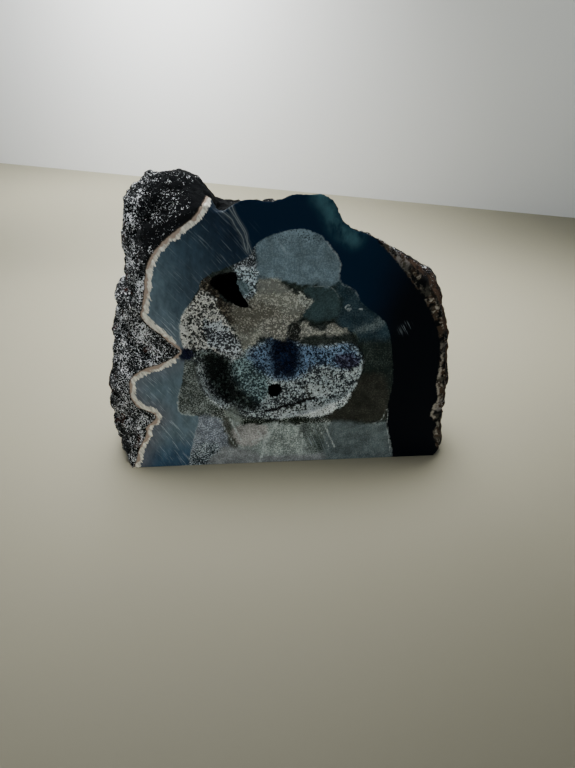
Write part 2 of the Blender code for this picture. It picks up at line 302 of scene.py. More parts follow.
moved = at.copy()
for x, z, reach, push_x, push_z in NUDGES:
    share = np.exp(-(((at[:, [0, 2]] - (x, z)) / reach) ** 2).sum(1)) * (1 - step(behind, 0, NUDGE_FADE))
    moved[:, [0, 2]] += share[:, None] * (push_x, push_z)
moved[on_face, 1] = FACE_Y
moved[on_base, 2] = 0.0
print("the largest push is", round(np.linalg.norm(moved - at, axis=1).max(), 1), "mm")

# %% [markdown]
# ## The unsawn edge
# On the left some skin shows outside the pale rim, on the knob and in the notch, where the stone
# curved away before the saw reached it. It is sunk behind the face and grainy.

# %% Sinking the unsawn edge
UNSAWN_GRAIN, UNSAWN_DEPTH = 2.6, 1.1
UNSAWN_MEAN, UNSAWN_SWING = 0.45, 0.5
UNSAWN_BORDER = (0.0, 1.2)

unsawn = np.flatnonzero(on_face & (agate_here < 0) & (at[:, 0] < 0))
sunk = UNSAWN_MEAN + UNSAWN_SWING * rough(at[unsawn], UNSAWN_GRAIN, 3, 5)
moved[unsawn, 1] += sunk.clip(0, 1) * UNSAWN_DEPTH * step(-agate_here[unsawn], *UNSAWN_BORDER)
print(len(unsawn), "points sunk by up to", round((moved[unsawn, 1] - FACE_Y).max(), 2), "mm")

# %% [markdown]
# ## Rough skin
# The skin of a nodule is the cast of the gas bubble that it filled: lumpy, grainy and pitted. A
# displacement modifier could do it, but three noises added along the normals keep lumps, grain and
# pits apart, each with its own size and height. The relief dies away near the sawn faces. The edge
# where the saw met the skin is chipped a little.

# %% Roughening the skin
SKIN_LUMP, SKIN_LUMP_HEIGHT = 6.5, 0.9
SKIN_GRAIN, SKIN_GRAIN_HEIGHT = 2.3, 0.5
SKIN_PIT, SKIN_PIT_DEPTH = 3.6, 1.1
PIT_BORDER = (0.15, 0.55)
FADE_BEHIND_FACE, FADE_OVER_BASE = (0.2, 3.0), (0.1, 1.6)

skin = np.flatnonzero(on_skin)
skin_at = at[skin]
relief = rough(skin_at, SKIN_LUMP, 2, 1) * SKIN_LUMP_HEIGHT
relief += rough(skin_at, SKIN_GRAIN, 3, 2) * SKIN_GRAIN_HEIGHT
relief -= step(rough(skin_at, SKIN_PIT, 2, 3), *PIT_BORDER) * SKIN_PIT_DEPTH
relief *= step(behind[skin], *FADE_BEHIND_FACE) * step(at[skin, 2], *FADE_OVER_BASE)
moved[skin] += normals[skin] * relief[:, None]
print("relief from", round(relief.min(), 2), "to", round(relief.max(), 2), "mm")

# %% Chipping the sawn edge
CHIP, CHIP_HEIGHT = 1.9, 0.32
CHIP_STRETCH = (1, 0.5, 1)
CHIPPED_WITHIN, CHIPPED_OVER_BASE, CHIPPED_TURN = 2.5, 1.0, 0.25

sideways = normals[:, [0, 2]]
by_edge = (on_face | on_skin) & (behind < CHIPPED_WITHIN) & (at[:, 2] > CHIPPED_OVER_BASE)
edge = np.flatnonzero(by_edge & (np.hypot(*sideways.T) > CHIPPED_TURN))
chips = rough(at[edge] * CHIP_STRETCH, CHIP, 2, 4) * CHIP_HEIGHT
moved[edge[:, None], [0, 2]] += sideways[edge] * chips[:, None]
stone.data.vertices.foreach_set("co", (moved * MM).ravel())
stone.data.update()
stone.data.shade_smooth()
print("chips of up to", round(np.abs(chips).max(), 2), "mm at", len(edge), "points")

# %% [markdown]
# ## Zones of the quartz
# The heart of the stone is quartz in many moods: grey, green, beige, nearly black, and crusts of
# tiny crystals. One noise can't give so many, and an image is not used, so each mood is a zone: an
# outline with a soft border, a dark and a light colour, the share of light grains, and the radius
# and height of its crystals. A later zone lies over an earlier one.

# %% Zones
HEART_BOTTOM = [
    (-37, 21), (-32, 21.2), (-26, 20.8), (-21, 19.5), (-16, 17), (-10, 16.8), (-6, 17.6), (-1.5, 16.2),
    (3.5, 16), (10.5, 16.6), (23.5, 15.2), (30, 15), (42, 15.5),
]
BAND_FOOT = [(42, -8), (-42, -8)]
HOLLOW_SEEN = [
    (-31.5, 46), (-21, 47.5), (-12, 49), (3, 49.5), (12, 48), (17.5, 49), (21.5, 46), (23.5, 43),
    (25, 40), (24, 37), (23, 33), (21, 27.5), (19, 23.5), (13.5, 20), (7, 18.5), (0, 18), (-7, 18),
    (-14, 19), (-21, 21), (-26, 23.5), (-31, 27), (-34, 31), (-34, 35.5), (-32.5, 41.5),
]
# border width, dark colour, light colour, share of light grains, crystal radius and height, outline
ZONES = {
    "ring": (1.0, (0.013, 0.021, 0.019), (0.056, 0.071, 0.062), 0.38, 0.3, 0.6, None),
    "brown ring": (3.0, (0.028, 0.030, 0.024), (0.060, 0.060, 0.048), 0.4, 0.36, 0.6, [
        (20, 34), (30, 36), (34, 30), (34, 17), (20, 16), (10, 18), (16, 24)]),
    "veil": (3.5, (0.016, 0.035, 0.048), (0.044, 0.072, 0.086), 0.45, 0.3, 0.6, [
        (14.5, 71), (17, 69.5), (20, 68), (24, 64), (29, 59.5), (33, 55), (34, 49), (22, 49), (16, 53),
        (15, 58), (16.5, 62), (14.5, 66)]),
    "green": (1.2, (0.032, 0.056, 0.060), (0.052, 0.086, 0.092), 0.5, 0.3, 0.6, [
        (4.5, 67), (7.5, 67.5), (11, 67.5), (13, 67), (15, 64.5), (16, 61), (15.5, 58), (13, 56),
        (8, 56), (5, 57), (4, 59), (5.5, 61), (7, 63), (5.5, 64)]),
    "dome": (0.7, (0.115, 0.165, 0.195), (0.18, 0.245, 0.28), 0.5, 0.3, 0.6, [
        (-10.5, 69.5), (-10.5, 79.5), (-8.5, 82.5), (-3, 85.5), (3.5, 87), (9, 84.5), (13.5, 80),
        (17, 74.5), (16, 70), (13, 67.5), (9.5, 67.8), (6.5, 68.2), (1.5, 68.8), (-3, 70), (-8.5, 70)]),
    "grey column": (0.5, (0.018, 0.022, 0.026), (0.46, 0.50, 0.54), 0.45, 0.3, 0.6, [
        (-17, 73), (-16, 76), (-13, 79), (-12, 81.5), (-10.3, 81), (-10.3, 73.5), (-10.5, 70),
        (-13, 71)]),
    "hollow": (0.8, (0.010, 0.016, 0.022), (0.90, 1.0, 1.0), 0.56, 0.27, 0.75, HOLLOW_SEEN),
    "teal specks": (2.5, (0.02, 0.045, 0.05), (0.56, 0.75, 0.76), 0.48, 0.27, 0.65, [
        (-19, 42), (-14, 44), (-9.5, 40), (-7.5, 35.5), (-7, 31), (-10.5, 26), (-15.5, 27), (-18.5, 33),
        (-20, 38.5)]),
    "navy halo": (3.0, (0.006, 0.014, 0.04), (0.44, 0.64, 0.88), 0.52, 0.27, 0.75, [
        (-9, 49), (-5, 50.5), (3, 48.5), (13, 47), (18, 48), (22, 45), (23, 40.5), (17, 38.5),
        (9.5, 40), (4, 36), (-1.5, 34.5), (-7.5, 36.5), (-11.5, 40), (-14, 45)]),
    # navy quartz, and painted shade in the deepest pocket under the hollow's upper lip
    "navy core and shade": (4.5, (0.002, 0.006, 0.022), (0.02, 0.045, 0.12), 0.3, 0.36, 0.8, [
        (-6.5, 49.5), (-3.5, 50.5), (1.5, 49.5), (3.5, 45.5), (3, 41), (2, 37.5), (-1.5, 36),
        (-4.5, 37), (-6.5, 41.5)]),
    "dark left": (4.5, (0.003, 0.006, 0.005), (0.12, 0.165, 0.145), 0.22, 0.36, 0.7, [
        (-30, 46), (-25.5, 47), (-21.5, 45.5), (-19.5, 42), (-18.5, 36), (-15.5, 30.5), (-11.5, 25.5),
        (-13.5, 22.5), (-20, 25.5), (-24.5, 29), (-28, 35.5), (-29.5, 41)]),
    "corner": (2.0, (0.045, 0.055, 0.05), (0.30, 0.34, 0.32), 0.45, 0.3, 0.5, [
        (-32.5, 46), (-36, 46), (-36.5, 39), (-39, 31), (-40, 26), (-39, 20), (-33, 19.5), (-22.5, 19),
        (-20, 20.5), (-25, 25), (-28.5, 30), (-30.5, 35.5), (-31, 41.5)]),
    "purple": (1.5, (0.014, 0.012, 0.032), (0.20, 0.22, 0.34), 0.32, 0.36, 0.8, [
        (15.5, 43.5), (18.5, 44), (22, 43), (23, 39.5), (19.5, 38.5), (16, 40)]),
    "white patch": (0.9, (0.03, 0.035, 0.03), (0.90, 0.98, 0.97), 0.62, 0.36, 0.7, [
        (4, 31), (6, 32.5), (10.5, 32.5), (13.5, 31), (14, 28), (9.5, 27), (5.5, 28)]),
    "white strip": (0.8, (0.02, 0.028, 0.022), (0.90, 0.97, 0.96), 0.62, 0.36, 0.6, [
        (-7, 22), (-3, 23.5), (2, 24.5), (7.5, 25.5), (12, 25), (16.5, 25), (15, 21), (6.5, 19.3),
        (0, 19.3), (-5, 19)]),
    "crack": (0.4, (0.004, 0.004, 0.004), (0.03, 0.03, 0.03), 0.2, 0.34, 0.4, [
        (-8, 21.8), (-0.5, 23.9), (8, 26.2), (8, 27.1), (-0.5, 25.0), (-8, 22.9)]),
    "brown edge": (0.8, (0.022, 0.019, 0.014), (0.26, 0.23, 0.17), 0.36, 0.36, 0.6, [
        (-27.5, 70.5), (-25, 71.5), (-24, 68.5), (-22, 65.5), (-20, 63), (-17.5, 62), (-15, 60.5),
        (-12, 60.5), (-13, 58), (-16, 56.5), (-18.5, 55), (-20.5, 58), (-22.5, 60.5), (-23.5, 64.5),
        (-26, 66.5), (-27.5, 67)]),
    "blue side": (0.5, (0.014, 0.024, 0.032), (0.80, 0.94, 1.0), 0.48, 0.28, 0.65, [
        (-17, 72.5), (-16, 74), (-10.5, 74), (-10.5, 69), (-10, 66.5), (-11.5, 64.5), (-12.5, 63.5),
        (-11.5, 61), (-14, 63), (-16, 64.5), (-15.5, 66), (-16.5, 68)]),
    "teal patch": (0.8, (0.09, 0.14, 0.155), (0.26, 0.36, 0.39), 0.5, 0.34, 0.5, [
        (-16.5, 70), (-14.5, 70), (-12.5, 67.5), (-13.5, 65.5), (-15.5, 65), (-16, 67.5)]),
    "beige": (0.7, (0.18, 0.185, 0.155), (0.62, 0.63, 0.55), 0.52, 0.27, 0.34, [
        (-10.5, 69), (-8.5, 70), (-5.5, 69.5), (-3, 68), (0, 66.5), (2.5, 65.5), (4.5, 63.5), (6, 63),
        (6.5, 62.5), (5.5, 60.5), (4, 59), (3, 56.5), (0, 55.5), (-1, 52), (-1, 49), (-3.5, 49),
        (-6.5, 50.5), (-9.5, 50.5), (-11.5, 48.5), (-14, 47), (-16, 45.5), (-17, 50.5), (-18.5, 54),
        (-18.5, 55), (-16, 56.5), (-13, 58), (-11.5, 61), (-12.5, 63.5), (-10, 67)]),
    "beige shade": (3.5, (0.11, 0.107, 0.085), (0.44, 0.43, 0.36), 0.45, 0.27, 0.35, [
        (-18.3, 62), (-12.7, 64), (-5, 61.3), (-1.9, 58), (-9, 56), (-14.3, 51.6), (-17.7, 55)]),
    "pale beige": (2.0, (0.13, 0.13, 0.11), (0.66, 0.65, 0.575), 0.58, 0.27, 0.35, [
        (-9, 56), (-6.5, 57.5), (-2.5, 57.5), (2, 58.5), (3, 59), (2, 56.5), (-0.5, 55), (-1.5, 51.5),
        (-1.5, 49.5), (-5, 50.5), (-8.5, 52.5)]),
    "dome specks": (3.0, (0.02, 0.03, 0.035), (0.18, 0.25, 0.29), 0.66, 0.3, 0.6, [
        (-5, 83), (-2, 85.5), (3.5, 87), (8, 85), (9, 82), (6, 81.5), (2.5, 82.5), (-2, 82.5)]),
    "beige top": (1.0, (0.17, 0.18, 0.16), (0.42, 0.44, 0.39), 0.5, 0.27, 0.25, [
        (-10, 70), (-8.5, 70.5), (-4.5, 70.5), (-0.5, 67.5), (-0.5, 65.5), (-5, 65.5), (-10, 65.5)]),
    "beige tip": (0.7, (0.14, 0.15, 0.13), (0.80, 0.83, 0.75), 0.58, 0.28, 0.5, [
        (2.5, 66), (4.5, 64.5), (6.5, 63.5), (7, 62.5), (5.5, 60.5), (3, 62)]),
    "dark grain": (0.4, (0.012, 0.015, 0.013), (0.26, 0.27, 0.24), 0.25, 0.32, 0.4, [
        (1.5, 56.5), (3.5, 54.5), (4, 50), (2, 49), (-0.5, 50.5), (-1, 53), (0.5, 55.5)]),
    "jagged": (0.5, (0.19, 0.195, 0.17), (0.66, 0.66, 0.58), 0.5, 0.28, 0.4, [
        (3.5, 55), (5, 56.3), (6.5, 54), (9, 53), (11, 52.5), (12.5, 54.5), (14, 55.3), (16, 54),
        (19, 52), (19.5, 50.5), (17, 50), (13, 48.5), (8.5, 48), (3.5, 48)]),
    "pale band": (2.5, (0.05, 0.07, 0.078), (0.15, 0.19, 0.195), 0.5, 0.3, 0.6, [
        (21, 51.5), (26, 51.5), (30, 53.5), (32, 56), (29.5, 57.3), (26.5, 54.8), (22, 53.4)]),
    "jagged foot": (1.2, (0.018, 0.028, 0.024), (0.07, 0.085, 0.075), 0.45, 0.3, 0.4, [
        (4, 50.3), (9, 50.8), (14, 50.6), (18, 51), (21, 51), (22, 48.5), (13, 47.5), (4, 47.5)]),
    "bright": (0.5, (0.007, 0.009, 0.007), (1.0, 1.0, 0.94), 0.56, 0.33, 0.8, [
        (-27.5, 67.5), (-29.5, 65), (-31.5, 62.6), (-34, 60), (-35, 58), (-35, 54.5), (-35.5, 51),
        (-35, 47.5), (-32, 46.5), (-29, 47), (-24.5, 46.5), (-21.5, 44.5), (-17.5, 43), (-16, 45.5),
        (-16.5, 48), (-17, 50.5), (-18.5, 54), (-20.5, 57.5), (-22.5, 60.5), (-23.5, 64.5),
        (-26, 66.5)]),
    "blue bright": (1.0, (0.006, 0.008, 0.014), (0.90, 0.97, 1.0), 0.5, 0.33, 0.85, [
        (-27, 58), (-25, 56.5), (-21.5, 56.5), (-17.5, 50.5), (-16.5, 48), (-16, 45.5), (-18, 43.5),
        (-21.5, 44.5), (-24, 47), (-26.5, 48.5), (-27.5, 54)]),
    "seam": (1.5, (0.02, 0.026, 0.022), (0.46, 0.50, 0.46), 0.45, 0.3, 0.6, [
        (-24, 24), (-21.5, 24), (-15.5, 20.5), (-8, 19), (1, 18), (12.5, 18), (13.5, 15.5), (3.5, 14.5),
        (-7, 15.5), (-17.5, 15), (-24, 18.5), (-28, 21)]),
    "seam dark": (1.5, (0.008, 0.012, 0.009), (0.26, 0.30, 0.25), 0.34, 0.3, 0.6, [
        (-17.5, 18), (-12, 19.5), (-5, 18.5), (0, 19.5), (6, 19), (6, 16.8), (-2, 16.5), (-8, 16.5),
        (-15, 16)]),
    "green patch": (1.5, (0.12, 0.14, 0.125), (0.26, 0.30, 0.27), 0.5, 0.34, 0.4, [
        (-22, 24), (-18.5, 24.5), (-17, 20.5), (-17.5, 17), (-21, 18.5)]),
    "stain": (0.8, (0.004, 0.005, 0.02), (0.06, 0.07, 0.16), 0.25, 0.36, 0.6, [
        (-37, 46), (-34.5, 47.5), (-31.5, 46.5), (-32, 44), (-35, 43), (-36.5, 44.5)]),
    "band": (0.5, (0.20, 0.235, 0.225), (0.40, 0.46, 0.44), 0.5, 0.36, 0.6, HEART_BOTTOM + BAND_FOOT),
    "band left": (1.5, (0.14, 0.16, 0.19), (0.46, 0.51, 0.58), 0.45, 0.36, 0.6, [
        (-33, 20.5), (-24, 19.5), (-20.5, 8), (-21, -4), (-40, -4), (-35, 10)]),
    "band grains": (2.0, (0.025, 0.035, 0.042), (0.56, 0.64, 0.68), 0.42, 0.36, 0.6, [
        (-34, 8), (-30, 10), (-25.5, 8), (-25, 0), (-38, 0)]),
    "band strip": (0.5, (0.06, 0.065, 0.055), (0.15, 0.155, 0.135), 0.4, 0.36, 0.6, [
        (-24, 19.5), (-21.3, 18.8), (-18.8, 9), (-19.5, 6), (-21, 7)]),
    "band wedge": (1.0, (0.26, 0.255, 0.245), (0.48, 0.475, 0.46), 0.5, 0.36, 0.6, [
        (-20, 16), (-10, 16.5), (-7, 14), (-10, 10), (-14.5, 7.5), (-18.5, 8.5)]),
    "band scratched": (1.5, (0.07, 0.085, 0.08), (0.22, 0.26, 0.245), 0.5, 0.36, 0.6, [
        (3.5, 15.8), (14, 15.5), (16, 10), (18.5, 3), (11, 2.5), (6, 4.5)]),
    "band dots": (2.5, (0.21, 0.255, 0.24), (0.66, 0.73, 0.69), 0.44, 0.36, 0.6, [
        (-7, 15.5), (1.5, 15.5), (3, 8), (3, 4), (-8, 3.5), (-7.5, 9)]),
    "band foot": (2.0, (0.19, 0.205, 0.21), (0.32, 0.34, 0.345), 0.5, 0.36, 0.6, [
        (-25, 7), (-19, 7), (-12, 4.5), (-9, 3), (14, 3), (26, 3), (26, -6), (-28, -6)]),
    "band oval": (1.2, (0.04, 0.052, 0.048), (0.12, 0.15, 0.14), 0.5, 0.36, 0.6, [
        (8.5, 10), (10.5, 11.5), (13, 9.5), (14, 6), (12, 4), (9.5, 5.5)]),
    "band right": (2.5, (0.10, 0.128, 0.132), (0.165, 0.20, 0.205), 0.5, 0.36, 0.6, [
        (14, 16), (30, 15), (40, 16), (42, -6), (16, -6)]),
}
ZONE_SHAKE, ZONE_SHAKE_SIZE = 0.8, 1.6

print(len(ZONES), "zones")

# %% [markdown]
# ## Looking a zone up
# The zones are outlined on the sawn face as the camera sees them. A place deep in the hollow is
# seen through the face, so it looks its zone up where its line of sight passes the face. A little
# noise shakes the borders, as crystals never stop at a straight line.

# %% The zone at a place
ZONE_NOISE_SEED = 8


def seen_on_face(points):
    """Where the line from the camera to each point passes the sawn face."""
    back = points[:, 1] - FACE_Y
    share = back / (back + FACE_Y - CAMERA_PLACE[1])
    return points[:, [0, 2]] + (np.array(CAMERA_PLACE)[[0, 2]] - points[:, [0, 2]]) * share[:, None]


def on_level(places):
    """Places on the face as points, for a noise that is the same at any depth."""
    return np.column_stack([places[:, 0], np.zeros(len(places)), places[:, 1]])


def quartz_look(points):
    """Nine numbers a point: dark colour, light colour, share of light, crystal radius and height."""
    places = seen_on_face(points)
    shake = ZONE_SHAKE * rough(on_level(places), ZONE_SHAKE_SIZE, 3, ZONE_NOISE_SEED)
    looks = np.zeros((len(points), 9))
    for border, dark, light, share, radius, height, outline in ZONES.values():
        zone = np.array([*dark, *light, share, radius, height])
        weight = 1.0
        if outline:
            weight = step(inside_distance(places, outline) + shake, -border / 2, border / 2)[:, None]
        looks = looks * (1 - weight) + zone * weight
    return looks


middle_look = quartz_look(np.array([[0.0, FACE_Y, 30.0]]))[0]
print("a crystal in the middle is about", middle_look[7:].round(2), "mm in radius and height")

# %% [markdown]
# ## Borders and lines of the cut
# Quartz fills the heart of the agate. A ridge of pale strands climbs out of it and parts the blue
# agate from the black. Thin pale veins cross the quartz, and part of its edge is pale. Each is a
# line of a few points, and the material draws it from the distance to it.

# %% Lines of the cut
QUARTZ = [
    (-12.5, 77.5), (-10, 81.5), (-6.5, 83.5), (-1.5, 85), (3, 85.5), (6, 85), (9.5, 83), (13, 79),
    (15, 76), (15.5, 73.5), (15, 70.5), (16.5, 68), (20, 66), (22, 63), (25, 60), (28.5, 57.3),
    (31.5, 54), (33, 49.5), (34.5, 42), (35.5, 33), (34.8, 24), (34.5, 17), (35.5, 12), (37, 6),
    (38.5, 0), (40, -6), (-39, -6), (-37, 0.5), (-34.5, 10.5), (-33, 15.5), (-31.8, 20.7), (-35, 21.7),
    (-37.5, 22.5), (-38.5, 24.5), (-38.2, 27.5), (-37.5, 31), (-36, 36), (-35.2, 40.5), (-34.5, 44),
    (-34.8, 47.5), (-35.3, 52), (-34.8, 57), (-33.3, 60.3), (-30.5, 63.5), (-28.5, 67), (-27, 70.5),
    (-23, 73), (-17.5, 75), (-14.5, 76.5),
]
RIDGE = [
    (-26, 101), (-24, 95.5), (-21, 92.5), (-18, 89.5), (-15.5, 86), (-13.7, 82.5), (-12.8, 79.5),
    (-12.5, 77.5),
]
RIGHT_OF_RIDGE = [(-6, 60), (0, -20), (90, -20), (90, 130), (-26, 130)]
GLOW_LINE = [(9, 95), (11.5, 91.5), (13.5, 87.5), (16.5, 84), (19, 82.5)]
# pale lines in the cut: half width, then the points
VEINS = [
    (0.10, [(-24.5, 19), (-22.4, 14), (-19.8, 8)]),
    (0.22, [(-21, 19.5), (-19.5, 15.5), (-17.6, 10.5)]),
    (0.3, [(-4.5, 17), (-6, 14.5), (-8.5, 12), (-11, 10.5), (-13.5, 9.5)]),
    (0.3, [(-6, 14.5), (-8, 11), (-9.5, 7), (-10.2, 3.5), (-11, 0)]),
    (0.16, [(-11.5, 14), (-9.5, 10.5), (-9, 6.5), (-7.8, 3)]),
    (0.1, [(17.6, 60.2), (18.2, 61), (19.2, 60.8), (19.4, 59.8), (18.6, 59.2), (17.6, 60.2)]),
    (0.2, [(22.2, 59.6), (23, 59.4)]),
    (0.02, [(34, 21), (33, 17.3), (30.5, 15.6), (26, 15.2)]),
    (0.05, [(35.2, 22), (35, 16), (36, 9), (37.5, 1)]),
    (0.1, [(4.3, 12.5), (5.5, 8), (7.5, 4)]),
    (0.06, [(7.6, 15.5), (9.0, 12.5)]),
    (0.1, [(9.8, 15.8), (12, 11), (14.6, 5)]),
    (0.2, [(12.5, 15.5), (14.5, 10), (16.5, 5.5)]),
    (0.06, [(2.6, 15.5), (4, 11), (4.8, 7)]),
]
# pale strands that fan out upwards along the ridge
STRANDS = [
    [(-26, 97), (-23, 94), (-20.5, 91.5), (-17.5, 89), (-16, 86.5), (-14, 83), (-13, 79)],
    [(-20.5, 97), (-18.5, 93.5), (-17, 90.5), (-15, 87.5), (-13.5, 84.5), (-12.5, 80.5), (-12.3, 78.5)],
    [(-18.5, 97), (-17, 93), (-16, 90), (-14.5, 87.5), (-13, 84.5), (-12, 80)],
]

print(len(VEINS), "veins and", len(STRANDS), "strands")

# %% [markdown]
# ## Strong and weak places
# Some finishes are strong in one place and faint in another: saw marks, the pale edge of the
# quartz, patches on the right edge, and how much white the skin has. They could be painted by
# hand with a brush. Here each is a few soft round spots or an outline, turned into a number.

# %% Spots, patches and the skin's speckle
# each spot: x, z, how far, and how strong
EDGE_PALE = [
    (-38, 26, 8, 1.0), (-33.5, 57, 10, 1.0), (-34, 10, 10, 0.5), (14, 77, 9, 0.6), (19, 67, 6, 0.4),
    (36, 8, 9, 0.4),
]
MARKED = [
    (-44, 24, 19, 1.0), (-38, 10, 14, 0.9), (-41, 52, 11, 0.9), (-30, 80, 24, 0.32), (11, 9.5, 8, 0.9),
    (-20, 10, 12, 0.35), (-3.5, 81, 5, 0.5), (38, 52.5, 3, 0.7),
]
SHOULDER_CUT = [(-18.5, 93.5, 8, 1.0)]
EDGE_PATCHES = [(33, 76, 6, 1.0), (53, 22, 4, 0.8), (54, 45, 4, 0.5)]
SPOT_CORE = 0.4
DARK_KNOB = [
    (-42, 92.5), (-36, 101), (-26, 104), (-20, 97), (-26, 91), (-33, 85), (-40, 79), (-43, 75), (-44, 84),
]
WHITE_NOTCH = [(-58, 56), (-52, 58), (-46, 56), (-40, 49), (-38, 46), (-42, 42), (-50, 40), (-56, 44)]
SPECKLE = 0.37
LESS_ON_RIGHT, LESS_BY_FACE, LESS_LOW_LEFT = 0.15, 0.17, 0.13
LESS_ON_KNOB, LESS_ON_SHOULDER, MORE_IN_NOTCH = 0.26, 0.4, 0.06
BACK_FROM, RIGHT_FROM = (6, 16), (-34, -22)
KNOB_BORDER, NOTCH_BORDER = (-4, 2), (-2, 2)
TURNED_LEFT, LOW_LEFT_BACK, LOW_LEFT_TOP = (0.5, 0.9), (10, 30), (65, 80)


def spots(places, given):
    """A value painted in round soft spots, each with x, z, how far it reaches and its value."""
    values = np.zeros(len(places))
    for x, z, far, value in given:
        weight = 1 - step(np.hypot(places[:, 0] - x, places[:, 1] - z), far * SPOT_CORE, far)
        values = np.maximum(values, weight * value)
    return values


def skin_speckle(points, outward):
    """The share of white grains on the skin: much in the notch, and little on the right."""
    places = points[:, [0, 2]]
    by_face = 1 - step(points[:, 1] - FACE_Y, *BACK_FROM)
    share = SPECKLE - (LESS_ON_RIGHT + LESS_BY_FACE * by_face) * step(points[:, 0], *RIGHT_FROM)
    share -= LESS_ON_KNOB * step(inside_distance(places, DARK_KNOB), *KNOB_BORDER)
    share += MORE_IN_NOTCH * step(inside_distance(places, WHITE_NOTCH), *NOTCH_BORDER)
    share -= LESS_ON_SHOULDER * spots(places, SHOULDER_CUT)
    low_left = step(-outward[:, 0], *TURNED_LEFT) * (1 - step(points[:, 1], *LOW_LEFT_BACK))
    low_left *= 1 - step(points[:, 2], *LOW_LEFT_TOP)
    return share - LESS_LOW_LEFT * low_left


places = moved[:, [0, 2]]
speckle = skin_speckle(moved, normals)
print("share of white on the skin:", round(speckle[skin].min(), 2), "to", round(speckle[skin].max(), 2))

# %% [markdown]
# ## How deep the base lies in the stone
# The base is sawn too, so it shows the rim, the agate and the quartz. Their bands follow the skin,
# as they do in any cut through such a stone, so each point of the base needs its distance to the
# nearest skin. A k-d tree finds that point quickly among thousands.

# %% From the base to the skin
BASE_QUARTZ_DEPTH = 17.0
DEEP_INSIDE = 50.0

tree = kdtree.KDTree(len(skin))
for number, point in enumerate(moved[skin]):
    tree.insert(point, number)
tree.balance()
to_skin = np.full(len(at), DEEP_INSIDE)
for number in np.flatnonzero(on_base):
    to_skin[number] = tree.find(moved[number])[2]
print("the base lies up to", round(to_skin[on_base].max(), 1), "mm from the skin")

# %% [markdown]
# ## Distances on the stone's points
# A material can read numbers that are stored on the mesh's points, called attributes. All the
# distances and shares are stored so. The sawn face takes its own from the outlines, and the base
# from the distance to the skin. Past the shoulder of the knob the sawn colours go on for a few
# millimetres, because the real cut runs a little higher there than the solid.

# %% Distances as attributes
WALL_SEEN = 4.0
NOT_HOLLOW = -20.0
SHOULDER_BACK, SHOULDER_FROM = 6.5, 0.1
NOTCH_TIP, NOTCH_REACH, NOTCH_THINNER = (-36.3, 46.5), 3.0, 0.8
STAIN_BORDER = 0.8
RUSTY_RIGHT, RUSTY_BACK = (18, 28), (8, 20)


def put_attribute(mesh, name, values):
    mesh.attributes.new(name, "FLOAT", "POINT").data.foreach_set("value", values.astype(np.float32))


def in_hollow_seen(places):
    """Positive where the hollow's own wall is seen, past the first few millimetres."""
    return np.minimum(inside_distance(places, HOLLOW), behind - WALL_SEEN)


def from_veins(places):
    """The distance to the nearest vein's side."""
    return np.min([line_distance(places, smooth_curve(line, False)) - wide for wide, line in VEINS], axis=0)


by_shoulder = (behind < SHOULDER_BACK) & (spots(places, SHOULDER_CUT) > SHOULDER_FROM)
distances = {
    "cut": np.where(on_face | on_base | in_hollow | by_shoulder, 1.0, 0.0),
    "in_agate": np.where(on_base, to_skin, inside_distance(places, AGATE)),
    "in_quartz": np.where(on_base, to_skin - BASE_QUARTZ_DEPTH, inside_distance(places, QUARTZ)),
    "in_hollow": np.where(on_base, NOT_HOLLOW, in_hollow_seen(places)),
    "past_ridge": inside_distance(places, RIDGE + RIGHT_OF_RIDGE),
    "from_vein": from_veins(places),
    "from_glow": line_distance(places, smooth_curve(GLOW_LINE, False)),
    "in_green": inside_distance(places, ZONES["green"][-1]),
    "rim_width": 1 - NOTCH_THINNER * np.exp(-(((places - NOTCH_TIP) / NOTCH_REACH) ** 2).sum(1)),
    "stain": step(inside_distance(places, ZONES["stain"][-1]), -STAIN_BORDER, STAIN_BORDER),
    "speckle": speckle,
    "rusty": step(moved[:, 0], *RUSTY_RIGHT) * (1 - step(behind, *RUSTY_BACK)),
    "marked": spots(places, MARKED),
    "edge_pale": spots(places, EDGE_PALE),
    "edge_patch": spots(places, EDGE_PATCHES),
}
for number, line in enumerate(STRANDS):
    distances[f"strand_{number}"] = inside_distance(places, line + RIGHT_OF_RIDGE)
for name, values in distances.items():
    put_attribute(stone.data, name, values)
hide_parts("agate_stone")
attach(stone, "root")
print("attributes:", ", ".join(distances))

# %% [markdown]
# ## The quartz colours on the stone
# Each point in the quartz also stores the dark colour, the light colour and the share of light
# grains of its zone. The base shows the quartz of the bottom band all over. The shader then mixes
# the two colours in grains that are far finer than the mesh.

# %% Quartz colours as attributes
QUARTZ_MARGIN = 2.0
BASE_LOOK = np.array([*ZONES["band"][1], *ZONES["band"][2], *ZONES["band"][3:6]])


def put_colour(mesh, name, colours):
    with_alpha = np.column_stack([colours, np.ones(len(colours))])
    layer = mesh.attributes.new(name, "FLOAT_COLOR", "POINT")
    layer.data.foreach_set("color", with_alpha.astype(np.float32).ravel())


looks = np.tile(BASE_LOOK, (len(at), 1))
in_quartz = np.flatnonzero((on_face | in_hollow) & (distances["in_quartz"] > -QUARTZ_MARGIN))
looks[in_quartz] = quartz_look(moved[in_quartz])
put_colour(stone.data, "dark", looks[:, :3])
put_colour(stone.data, "light", looks[:, 3:6])
put_attribute(stone.data, "light_share", looks[:, 6])
print(len(in_quartz), "points of the stone are quartz")

# %% [markdown]
# ## Small helpers for materials
# A material is a tree of nodes: each takes values in and gives values out. It could be wired by
# hand in the shader editor. In a script one helper does it: `put` adds a node and fills its inputs
# with values or with other nodes' outputs. The others below are short names for common nodes.

# %% Adding nodes


def put(tree, kind, inputs=(), output=0, **settings):
    """Adds a node, sets its options and inputs, and returns one of its outputs."""
    node = tree.nodes.new(kind)
    for name, value in settings.items():
        setattr(node, name, value)
    for key, value in dict(inputs).items():
        if isinstance(value, bpy.types.NodeSocket):
            tree.links.new(value, node.inputs[key])
        else:
            node.inputs[key].default_value = value
    return node.outputs[output]


